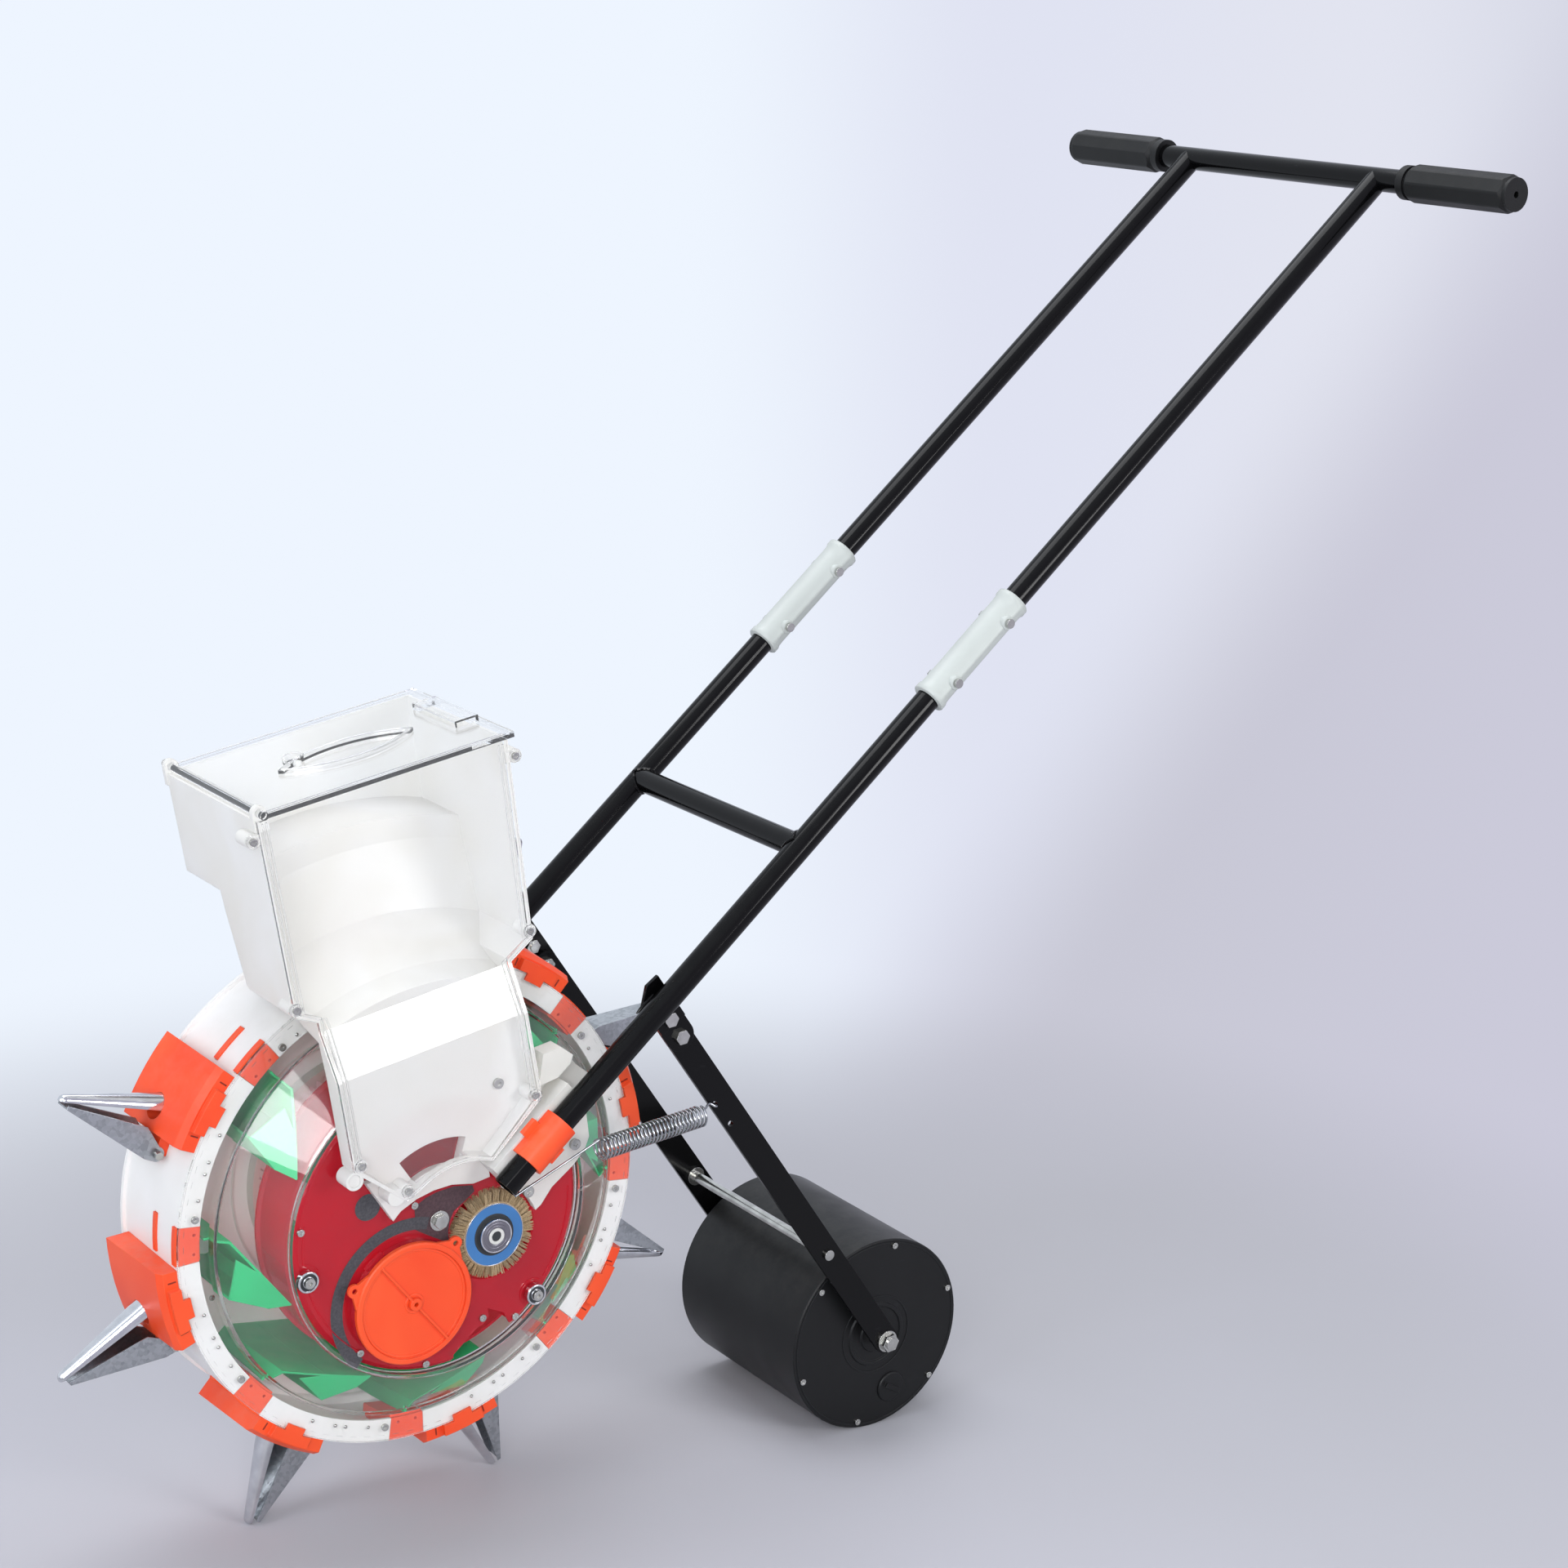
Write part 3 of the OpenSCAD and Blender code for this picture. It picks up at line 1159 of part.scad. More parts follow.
// Along an arm: +X runs from the pivot to the roller's axle
module along_arm() chassis() translate([pivot_u, 0, pivot_w]) rotate([0, chassis_pitch + arm_drop, 0]) children();

bracket_t = 3;
bracket_half = 14;
bracket_from = 44;       // how far the plate runs from the pivot up to the tube
strap_bolt_at = 23;      // distance of the strap's bolt from the pivot
pivot_t = (pivot_u - tube_u) * cos(handle_slope) + (pivot_w - tube_w) * sin(handle_slope);
pivot_off = (pivot_u - tube_u) * sin(handle_slope) - (pivot_w - tube_w) * cos(handle_slope);
arm_lean = chassis_pitch + arm_drop + handle_slope - 90;
strap_at = pivot_t - pivot_off * tan(arm_lean);
arm_inner = arm_y - arm_t / 2;
arm_outer = arm_y + arm_t / 2;
plate_inner = arm_outer + free_gap;
plate_outer = plate_inner + bracket_t;

// A strap round each tube, whose flat end carries the arm's pivot
module yoke_brackets() color("black") for (side = [-1, 1]) difference() {
    union() {
        along_tube(side) rod_x(tube_r + bracket_t + 1, strap_at - bracket_half, strap_at + bracket_half);
        along_arm() mirrored(side) {
            slab(-plate_outer, -plate_inner) {
                circle(r = bracket_half, $fn = 48);
                translate([-bracket_from, -bracket_half]) square([bracket_from, 2 * bracket_half]);
            }
            slab(-plate_outer - bracket_t, -plate_inner)
                translate([-bracket_from, -bracket_half])
                    square([bracket_from - strap_bolt_at + 8, 2 * bracket_half]);
        }
    }
    along_tube(side) rod_x(tube_r + seat_gap, 0, 400);
    along_arm() bar(pivot_r + shaft_fit, -150, 150);
    along_arm() translate([-strap_bolt_at, 0, 0]) bar(pivot_r + seat_gap, -150, 150);
}

module pivot_bolts() color("silver") for (side = [-1, 1]) along_arm() mirrored(side) {
    bar(pivot_r, -plate_outer - 1, -arm_inner + 6);
    bar(7, -plate_outer - 5, -plate_outer, 6);
    bar(7, -arm_inner + free_gap, -arm_inner + 5, 6);
    translate([-strap_bolt_at, 0, 0]) {
        bar(pivot_r, -plate_outer - bracket_t - 1, -plate_inner + 6);
        bar(7, -plate_outer - bracket_t - 4, -plate_outer - bracket_t, 6);
        bar(7, -plate_inner, -plate_inner + 4.5, 6);
    }
}

module yoke_arm(side) color("black") along_arm() mirrored(side) difference() {
    slab(-arm_outer, -arm_inner) {
        translate([0, -arm_w / 2]) square([arm_len, arm_w]);
        circle(r = arm_w / 2, $fn = 48);
        translate([arm_len, 0]) circle(r = arm_w / 2, $fn = 48);
    }
    bar(pivot_r + shaft_fit, -150, 150);
    translate([arm_len, 0, 0]) bar(roller_axle_r + seat_gap, -150, 150);
    translate([stay_at, 0, 0]) bar(stay_r + seat_gap, -150, 150);
    translate([hook_at, 0, -hook_off]) bar(hook_hole_r, -150, 150, 24);
    translate([spare_at, 0, -spare_off]) bar(hook_hole_r, -150, 150, 24);
}

module yoke_arm_near() yoke_arm(-1);
module yoke_arm_far() yoke_arm(1);

module stay_rod() color("silver") along_arm() translate([stay_at, 0, 0]) {
    bar(stay_r, -arm_outer - 3, arm_outer + 3);
    for (s = [-1, 1]) bar(9, s * (arm_inner - 1.6) - 1.5, s * (arm_inner - 1.6) + 1.5);
}

module roller_axle() color("silver") along_arm() translate([arm_len, 0, 0]) {
    bar(roller_axle_r, -arm_outer - 9, arm_outer + 9);
    for (s = [-1, 1]) {
        bar(10.5, s * (arm_outer + 0.8) - 0.8, s * (arm_outer + 0.8) + 0.8);
        bar(9, s * (arm_outer + 4.4) - 2.8, s * (arm_outer + 4.4) + 2.8, 6);
        bar(9, s * (roller_half + 6.5) - 4.5, s * (roller_half + 6.5) + 4.5);
    }
}

roller_screw_r = 88.5;
plug_at = [22.6, -58.8];
plug_r = 15;

module at_roller() along_arm() translate([arm_len, 0, 0]) rotate([0, -arm_drop, 0]) children();

module roller_shell() color("black") at_roller() turned(180) polygon([
    [roller_r, -roller_half + 1], [roller_r, roller_half - 1], [roller_r - 1, roller_half],
    [roller_r - roller_wall, roller_half], [roller_r - roller_wall, -roller_half],
    [roller_r - 1, -roller_half]]);

end_t = 4;
end_r = roller_r - roller_wall - 0.1;

module roller_ends() color("black") for (s = [-1, 1]) at_roller() mirrored(s)
    difference() {
        turned(180) polygon([[roller_axle_r + shaft_fit, -roller_half - 1.5], [17, -roller_half - 1.5],
            [18, -roller_half], [27, -roller_half], [28, -roller_half - 1.6], [31, -roller_half - 1.6],
            [32, -roller_half], [end_r, -roller_half], [end_r, -roller_half + 14],
            [end_r - 4, -roller_half + 14], [end_r - 4, -roller_half + end_t],
            [12, -roller_half + end_t], [12, -roller_half + 26], [roller_axle_r + shaft_fit, -roller_half + 26]]);
        if (s < 0) translate([plug_at[0], 0, plug_at[1]]) bar(plug_r - 2, -roller_half - 3, -roller_half + 6);
        roller_screw_places() bar(screw_r + seat_gap, -roller_half - 1, -roller_half + 12, 24);
    }

module roller_screw_places()
    for (k = [0 : 5]) rotate([0, -(20.5 + 60 * k), 0]) translate([roller_screw_r, 0, 0]) children();

module roller_screws() color("silver") for (s = [-1, 1]) at_roller() mirrored(s)
    roller_screw_places() screw(-roller_half, head_r = 3);

module fill_plug() color("black") at_roller() translate([plug_at[0], 0, plug_at[1]]) difference() {
    union() {
        bar(plug_r - 2 - seat_gap, -roller_half, -roller_half + 7);
        turned() polygon([[0, -roller_half], [0, -roller_half - 2], [plug_r - 1, -roller_half - 2],
            [plug_r, -roller_half - 1], [plug_r, -roller_half]]);
        rotate([0, 30, 0]) translate([-9, -roller_half - 5, -2]) cube([18, 4, 4]);
    }
}

// The tension spring: a straight leg, the coils and a hook, as one wire
hook_u = pivot_u + hook_at * cos(chassis_pitch + arm_drop) - hook_off * sin(chassis_pitch + arm_drop);
hook_w = pivot_w - hook_at * sin(chassis_pitch + arm_drop) - hook_off * cos(chassis_pitch + arm_drop);
coil_r = (coil_d - wire_d) / 2;
coil_start = [141, -127, 24.6];
coil_end = [250, -119, 12];
leg_foot = [53, -132, 17.5];
coil_dir = (coil_end - coil_start) / norm(coil_end - coil_start);
coil_side = cross([0, 1, 0], coil_dir) / norm(cross([0, 1, 0], coil_dir));
coil_up = cross(coil_dir, coil_side);
rings_per_coil = 8;

function coil_point(t) = let (a = 360 * coils * t)
    coil_start + (coil_end - coil_start) * t + coil_r * (-coil_side * cos(a) + coil_up * sin(a));

hook_hole = [hook_u, -arm_y, hook_w];
leg_dir = (coil_point(0) - leg_foot) / norm(coil_point(0) - leg_foot);
leg_path = [leg_foot, leg_foot + leg_dir * wire_d, coil_point(0) - leg_dir * 4];
hook_path = [coil_end + coil_dir * 4 + [0, -2, 6], hook_hole + [-8, -6, 5], hook_hole + [-3, -7.5, 1],
    hook_hole + [-0.3, -5.5, 0], hook_hole + [0, -2, 0], hook_hole + [0, 3, 0], hook_hole + [0, 3 + wire_d, 0]];
coil_path = [for (i = [0 : coils * rings_per_coil]) coil_point(i / (coils * rings_per_coil))];
wire_path = concat(leg_path, coil_path, hook_path);

function path_dir(p, i) = let (n = len(p),
        a = i == 0 ? p[1] - p[0] : i == n - 1 ? p[n - 1] - p[n - 2]
            : (p[i + 1] - p[i]) / norm(p[i + 1] - p[i]) + (p[i] - p[i - 1]) / norm(p[i] - p[i - 1]))
    a / norm(a);

// A wire of six sides along a path, each ring carried over from the last without twist
function carry(v, d) = let (w = v - d * (v * d)) w / norm(w);
function ring_frames(p, i = 0, v = [0, 0.3, 1]) = i == len(p) ? [] :
    let (w = carry(v, path_dir(p, i))) concat([w], ring_frames(p, i + 1, w));

module wire(p, d, sides = 6) {
    frames = ring_frames(p);
    points = [for (i = [0 : len(p) - 1])
        let (t = path_dir(p, i), a = frames[i], b = cross(t, a))
        for (s = [0 : sides - 1])
            p[i] + d / 2 * (a * cos(s * 360 / sides) + b * sin(s * 360 / sides))];
    last = (len(p) - 1) * sides;
    sheets = [for (i = [0 : len(p) - 2]) for (s = [0 : sides - 1])
        let (q = (s + 1) % sides, a = i * sides + s, b = i * sides + q)
        each [[a, b + sides, b], [a, a + sides, b + sides]]];
    cap_a = [for (s = [1 : sides - 2]) [0, s, s + 1]];
    cap_b = [for (s = [1 : sides - 2]) [last, last + s + 1, last + s]];
    polyhedron(points, concat(sheets, cap_a, cap_b), convexity = 10);
}

// The least gap of the wire to itself, on points more than half a coil apart
wire_gap = min([for (i = [0 : len(wire_path) - 1]) for (j = [i + 5 : 1 : min(i + 14, len(wire_path) - 1)])
    norm(wire_path[i] - wire_path[j])]) - wire_d;
echo(spring_gap = wire_gap);

module tension_spring() color("silver") chassis() wire(wire_path, wire_d);

drum_shell();
ring_gear();
side_cover();
drum_screws();
duckbill_seats();
seed_blocks();
fixed_beaks();
beak_pins();
seed_scoops();
flap_1();
flap_2();
flap_3();
flap_4();
flap_5();
flap_6();
flap_7();
flap_8();
seed_chamber();
chamber_screws();
wheel_axle();
guide_bolts();
guide_bearing_a();
guide_bearing_b();
guide_bearing_c();
seed_roller();
metering_gear();
metering_cap();
brush_disc();
brush_bristles();
brush_gear();
hopper_body();
hopper_front_panel();
hopper_screws();
hopper_lid();
bracket_near();
bracket_far();
tube_clamps();
clamp_screws();
lower_tube_near();
lower_tube_far();
cross_bar();
joining_sleeves();
sleeve_bolts();
upper_tube_near();
upper_tube_far();
t_bar();
grips();
yoke_brackets();
pivot_bolts();
yoke_arm_near();
yoke_arm_far();
stay_rod();
roller_axle();
roller_shell();
roller_ends();
roller_screws();
fill_plug();
tension_spring();
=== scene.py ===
import logging
import math
import random
from dataclasses import dataclass
from enum import Enum
from typing import ClassVar, Optional, Sequence

import bmesh
import bpy
from mathutils import Matrix, Vector


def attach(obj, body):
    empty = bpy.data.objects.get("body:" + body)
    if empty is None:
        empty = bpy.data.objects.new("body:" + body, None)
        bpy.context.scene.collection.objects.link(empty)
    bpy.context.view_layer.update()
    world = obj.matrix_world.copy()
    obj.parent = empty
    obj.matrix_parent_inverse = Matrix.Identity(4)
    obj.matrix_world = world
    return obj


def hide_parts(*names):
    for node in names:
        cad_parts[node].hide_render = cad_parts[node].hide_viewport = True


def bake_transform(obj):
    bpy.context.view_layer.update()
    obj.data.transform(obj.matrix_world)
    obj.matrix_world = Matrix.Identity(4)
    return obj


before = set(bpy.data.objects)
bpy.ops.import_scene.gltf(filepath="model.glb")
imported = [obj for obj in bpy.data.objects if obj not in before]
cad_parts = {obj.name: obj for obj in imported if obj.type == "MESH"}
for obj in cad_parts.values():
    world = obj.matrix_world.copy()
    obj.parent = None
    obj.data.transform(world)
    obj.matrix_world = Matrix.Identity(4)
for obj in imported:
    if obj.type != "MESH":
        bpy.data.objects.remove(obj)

LOG = logging.getLogger("planter")
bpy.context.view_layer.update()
MM = 0.001
HERE = Matrix.Identity(4)
Pair = tuple[float, float]
Triple = tuple[float, float, float]
Socket = bpy.types.NodeSocket


# Names that the frame gives

class Body(str, Enum):
    """The moving bodies of the planter that carry added pieces."""
    CHASSIS = "chassis"
    DRUM = "drum"
    BRUSH = "brush"
    CAP = "cap"
    LID = "lid"
    YOKE = "yoke"
    ROLLER = "roller"


class Finish(str, Enum):
    """The material slots of the record."""
    IVORY = "ivory_plastic"
    ORANGE = "orange_plastic"
    GREEN = "green_plastic"
    CLEAR_RED = "clear_red_plastic"
    CLEAR = "clear_plastic"
    GEAR = "gear_plastic"
    BLUE = "blue_plastic"
    BRISTLE = "tan_bristle"
    CHROME = "chrome_steel"
    GALVANISED = "galvanised_steel"
    ZINC = "zinc_steel"
    SPRING = "spring_steel"
    BLACK_STEEL = "black_steel"
    RUBBER = "black_rubber"
    BLACK_PLASTIC = "black_plastic"


# Shader trees

def linear(code: str) -> tuple[float, float, float, float]:
    """Turns a colour as written on a screen into the renderer's own values.

    Args:
        code: Six hexadecimal digits, two each for red, green and blue.

    Returns:
        Red, green, blue and an alpha of one.
    """
    parts = [int(code[i:i + 2], 16) / 255 for i in (0, 2, 4)]
    out = [p / 12.92 if p <= 0.04045 else ((p + 0.055) / 1.055) ** 2.4 for p in parts]
    return out[0], out[1], out[2], 1.0


class Tree:
    """Places and links the nodes of one shader tree."""

    def __init__(self, tree: bpy.types.NodeTree) -> None:
        """Keeps the tree that the nodes go into."""
        self.tree = tree

    def fill(self, node: bpy.types.Node, values: dict) -> None:
        """Sets or links a node's inputs.

        Args:
            node: The node.
            values: For each named or numbered input a value, a colour's code or an output socket.
        """
        for key, value in values.items():
            if isinstance(value, Socket):
                self.tree.links.new(value, node.inputs[key])
            else:
                node.inputs[key].default_value = linear(value) if isinstance(value, str) else value

    def node(self, kind: str, inputs: Optional[dict] = None, **settings: object) -> bpy.types.Node:
        """Places a node.

        Args:
            kind: The shader node's type name in Blender, without its prefix.
            inputs: What fill() takes.
            settings: Attributes of the node itself.

        Returns:
            The new node.
        """
        made = self.tree.nodes.new("ShaderNode" + kind)
        for name, value in settings.items():
            setattr(made, name, value)
        self.fill(made, inputs or {})
        return made

    def first(self, kind: str, inputs: Optional[dict] = None, **settings: object) -> Socket:
        """Places a node and returns its first output."""
        return self.node(kind, inputs, **settings).outputs[0]

    def math(self, operation: str, *values: object, clamp: bool = False) -> Socket:
        """Places a Math node and returns its result."""
        return self.first("Math", dict(enumerate(values)), operation=operation, use_clamp=clamp)

    def vector(self, operation: str, *values: object) -> Socket:
        """Places a Vector Math node and returns its result, a vector or a number."""
        made = self.node("VectorMath", dict(enumerate(values)), operation=operation)
        return made.outputs["Value" if operation in ("DOT_PRODUCT", "LENGTH") else "Vector"]

    def remap(self, value: Socket, low: float, high: float, start: float = 0.0, end: float = 1.0,
              **settings: str) -> Socket:
        """Places a clamped Map Range node and returns its result."""
        return self.first("MapRange", {0: value, 1: low, 2: high, 3: start, 4: end}, **settings)

    def blend(self, factor: Socket, first: object, second: object) -> Socket:
        """Mixes two colours and returns the result."""
        return self.node("Mix", {0: factor, 6: first, 7: second}, data_type="RGBA").outputs[2]

    def mix(self, share: object, first: Socket, second: Socket) -> Socket:
        """Mixes two shaders and returns the result."""
        return self.first("MixShader", {0: share, 1: first, 2: second})

    def noise(self, vector: Socket, scale: object, detail: float, **more: float) -> Socket:
        """Places a Noise Texture and returns its value."""
        return self.first("TexNoise", {"Vector": vector, "Scale": scale, "Detail": detail, **more})

    def bump(self, height: Socket, strength: float, distance: float, **more: Socket) -> Socket:
        """Places a Bump node and returns its normal."""
        return self.first("Bump", {"Height": height, "Strength": strength, "Distance": distance, **more})

    def rays(self, *kinds: str) -> Socket:
        """Returns a mask of the kinds of ray that Light Path names."""
        path = self.node("LightPath").outputs
        mask = path[f"Is {kinds[-1]} Ray"]
        for kind in kinds[-2::-1]:
            mask = self.math("MAXIMUM", path[f"Is {kind} Ray"], mask)
        return mask


class EffectLibrary:
    """Builds each shared surface effect once, as a shader node group."""

    def __init__(self) -> None:
        """Starts with no group built."""
        self.groups: dict[str, bpy.types.NodeTree] = {}

    def group(self, name: str) -> bpy.types.NodeTree:
        """Returns the group of an effect, whose name is also the name of its builder here."""
        if name not in self.groups:
            self.groups[name] = getattr(self, name)(name)
        return self.groups[name]

    def _open(self, name: str, outputs: Sequence[str],
              **inputs: Optional[float]) -> tuple[Tree, bpy.types.bpy_prop_collection, bpy.types.Node]:
        """Starts a group with its sockets.

        Args:
            name: The group's name.
            outputs: The outputs' names: Normal is a vector and the others are numbers.
            inputs: The inputs' defaults: an input without one is a vector and the others are numbers.

        Returns:
            The tree, the group's inputs and its output node.
        """
        kinds = {True: "NodeSocketVector", False: "NodeSocketFloat"}
        group = bpy.data.node_groups.new(name, "ShaderNodeTree")
        for label, default in inputs.items():
            socket = group.interface.new_socket(label, in_out="INPUT", socket_type=kinds[default is None])
            if default is not None:
                socket.default_value = default
        for label in outputs:
            group.interface.new_socket(label, in_out="OUTPUT", socket_type=kinds[label == "Normal"])
        given = group.nodes.new("NodeGroupInput")
        return Tree(group), given.outputs, group.nodes.new("NodeGroupOutput")

    def mould_grain(self, name: str) -> bpy.types.NodeTree:
        """The fine texture of a mould and the slow drift of tone where plastic flowed."""
        tree, given, out = self._open(name, ("Height", "Tone"), Vector=None, Size=900.0)
        slow = tree.noise(given["Vector"], 11.0, 2.0, Distortion=0.6)
        tree.fill(out, {"Height": tree.noise(given["Vector"], given["Size"], 3.0),
                        "Tone": tree.remap(slow, 0.35, 0.65)})
        return tree.tree

    def soft_edges(self, name: str) -> bpy.types.NodeTree:
        """The rounded feel of an edge, and a mask of where an edge is."""
        tree, given, out = self._open(name, ("Normal", "Mask"), Radius=0.0008)
        bevel = tree.first("Bevel", {"Radius": given["Radius"]}, samples=4)
        turned = tree.vector("DOT_PRODUCT", bevel, tree.node("NewGeometry").outputs["Normal"])
        tree.fill(out, {"Normal": bevel, "Mask": tree.remap(turned, 0.995, 0.85)})
        return tree.tree

    def handling_scuffs(self, name: str) -> bpy.types.NodeTree:
        """Short fine scratches from handling and packing."""
        tree, given, out = self._open(name, ("Mask",), Vector=None, Amount=0.5)
        layers = []
        for scale, turn in (((900.0, 60.0, 300.0), (0.3, 0.9, 0.2)), ((90.0, 700.0, 260.0), (1.1, 0.2, 0.7))):
            place = tree.first("Mapping", {"Vector": given["Vector"], "Scale": scale, "Rotation": turn})
            layers.append(tree.remap(tree.noise(place, 1.0, 1.0), 0.70, 0.78))
        patch = tree.remap(tree.noise(given["Vector"], 22.0, 2.0), 0.45, 0.7)
        held = tree.math("MULTIPLY", tree.math("MAXIMUM", *layers), patch)
        tree.fill(out, {"Mask": tree.math("MULTIPLY", held, given["Amount"], clamp=True)})
        return tree.tree

    def settled_dust(self, name: str) -> bpy.types.NodeTree:
        """A light film on faces that look up, gathered in patches."""
        tree, given, out = self._open(name, ("Mask",), Vector=None, Amount=0.3)
        up = tree.node("SeparateXYZ", {0: tree.node("NewGeometry").outputs["Normal"]}).outputs["Z"]
        patch = tree.noise(given["Vector"], 60.0, 6.0, Roughness=0.7)
        film = tree.math("MULTIPLY", tree.remap(up, 0.2, 0.95), tree.remap(patch, 0.4, 0.75))
        tree.fill(out, {"Mask": tree.math("MULTIPLY", film, given["Amount"], clamp=True)})
        return tree.tree

    def zinc_spangle(self, name: str) -> bpy.types.NodeTree:
        """The frosted crystals of hot-dip zinc."""
        tree, given, out = self._open(name, ("Tone", "Height"), Vector=None, Size=260.0)
        cells = tree.node("TexVoronoi", {"Vector": given["Vector"], "Scale": given["Size"]}).outputs
        tone = tree.first("SeparateColor", {0: cells["Color"]})
        frost = tree.noise(given["Vector"], 1600.0, 3.0, Roughness=0.7)
        tree.fill(out, {"Tone": tree.math("MULTIPLY_ADD", tone, 0.7, 0.5, clamp=True),
                        "Height": tree.math("ADD", cells["Distance"], frost)})
        return tree.tree

    def drawn_lines(self, name: str) -> bpy.types.NodeTree:
        """The long fine lines of drawn or turned metal."""
        tree, given, out = self._open(name, ("Height", "Tone"), Vector=None, Size=500.0)
        place = tree.first("Mapping", {"Vector": given["Vector"], "Scale": (1.0, 0.06, 1.0)})
        cloud = tree.noise(given["Vector"], 70.0, 3.0)
        tree.fill(out, {"Height": tree.noise(place, given["Size"], 2.0), "Tone": tree.remap(cloud, 0.3, 0.7)})
        return tree.tree

    def orange_peel(self, name: str) -> bpy.types.NodeTree:
        """The soft waves of a sprayed coat."""
        tree, given, out = self._open(name, ("Height",), Vector=None, Size=420.0)
        waves = tree.node("TexVoronoi", {"Vector": given["Vector"], "Scale": given["Size"],
                                         "Smoothness": 1.0}, feature="SMOOTH_F1")
        tree.fill(out, {"Height": waves.outputs["Distance"]})
        return tree.tree


class Coat(Tree):
    """The tree of a material, with the shared effects at hand."""

    def __init__(self, material: bpy.types.Material, effects: EffectLibrary) -> None:
        """Keeps the shared effects and places the piece's own coordinates."""
        super().__init__(material.node_tree)
        self.effects = effects
        self.place = self.node("TexCoord").outputs["Object"]

    def effect(self, name: str, **inputs: float) -> bpy.types.bpy_prop_collection:
        """Places a shared effect.

        Args:
            name: The effect's name.
            inputs: Values for the group's inputs, apart from its coordinates.

        Returns:
            The placed group's outputs.
        """
        made = self.node("Group", node_tree=self.effects.group(name))
        if "Vector" in made.inputs:
            inputs = {"Vector": self.place, **inputs}
        self.fill(made, inputs)
        return made.outputs

    def gloss(self, tone: Socket, rough: float, smooth: float, scuffs: Socket, gain: float) -> Socket:
        """Returns a roughness.

        Args:
            tone: The tone that it follows.
            rough: Roughness where the tone is 0.
            smooth: Roughness where the tone is 1.
            scuffs: The mask of scratches.
            gain: How much a scratch adds.

        Returns:
            The roughness, between 0 and 1.
        """
        base = self.remap(tone, 0.0, 1.0, rough, smooth)
        return self.math("ADD", base, self.math("MULTIPLY", scuffs, gain), clamp=True)


def open_material(name: str) -> bpy.types.Material:
    """Returns a new material with an empty tree."""
    material = bpy.data.materials.new(name)
    material.use_nodes = True
    material.node_tree.nodes.clear()
    return material


@dataclass(frozen=True)
class Recipe:
    """How a material is made."""
    name: str

    def build(self, effects: EffectLibrary) -> bpy.types.Material:
        """Makes the material.

        Args:
            effects: The shared node groups.

        Returns:
            The finished material.
        """
        material = open_material(self.name)
        tree = Coat(material, effects)
        tree.node("OutputMaterial", {"Surface": self.paint(tree)})
        return material

    def paint(self, tree: Coat) -> Socket:
        """Places the material's nodes and returns its shader."""
        raise NotImplementedError


@dataclass(frozen=True)
class MouldedPlastic(Recipe):
    """An opaque injection-moulded plastic."""
    colour: str
    deep: str
    worn: str
    roughness: float = 0.36
    grain: float = 0.06
    grain_size: float = 900.0
    edge: float = 0.0009
    through: float = 0.0
    shine: float = 0.5
    scuffs: float = 0.5
    dust: float = 0.12

    def paint(self, tree: Coat) -> Socket:
        """Places the material's nodes and returns its shader."""
        grain = tree.effect("mould_grain", Size=self.grain_size)
        edges = tree.effect("soft_edges", Radius=self.edge)
        scuffs = tree.effect("handling_scuffs", Amount=self.scuffs)["Mask"]
        dust = tree.effect("settled_dust", Amount=self.dust)["Mask"]
        flow = tree.blend(grain["Tone"], self.deep, self.colour)
        rubbed = tree.blend(tree.math("MULTIPLY", edges["Mask"], 0.35), flow, self.worn)
        scratched = tree.blend(tree.math("MULTIPLY", scuffs, 0.4), rubbed, self.worn)
        dusty = tree.blend(dust, scratched, "C9C6BE")
        bump = tree.bump(grain["Height"], self.grain, 0.0004, Normal=edges["Normal"])
        rough = tree.gloss(grain["Tone"], self.roughness + 0.05, self.roughness - 0.03, scuffs, 0.2)
        shader = tree.first("BsdfPrincipled", {
            "Base Color": dusty, "Normal": bump, "IOR": 1.5, "Specular IOR Level": self.shine,
            "Roughness": rough})
        if self.through == 0:
            return shader
        return tree.mix(self.through, shader, tree.first("BsdfTranslucent", {"Color": dusty, "Normal": bump}))


@dataclass(frozen=True)
class ClearPlastic(Recipe):
    """A see-through moulding with faint flow lines and fine scratches."""
    tint: str
    shadow: str
    roughness: float = 0.03
    body: float = 0.06
    body_colour: str = "F2F4F6"

    def paint(self, tree: Coat) -> Socket:
        """Places the material's nodes and returns its shader."""
        tone = tree.effect("mould_grain", Size=240.0)["Tone"]
        scuffs = tree.effect("handling_scuffs", Amount=0.8)["Mask"]
        flow = "FFFFFF" if self.body < 0.2 else self.tint
        glass = tree.first("BsdfPrincipled", {
            "Base Color": tree.blend(tone, self.tint, flow), "IOR": 1.49, "Transmission Weight": 1.0,
            "Roughness": tree.math("MULTIPLY_ADD", scuffs, 0.25, self.roughness),
            "Normal": tree.bump(tone, 0.05, 0.0008)})
        haze = tree.first("BsdfTranslucent", {"Color": self.body_colour})
        cloud = tree.mix(0.5, haze, tree.first("BsdfDiffuse", {"Color": self.body_colour}))
        passing = tree.first("BsdfTransparent", {"Color": self.shadow})
        return tree.mix(tree.rays("Shadow", "Diffuse"), tree.mix(self.body, glass, cloud), passing)


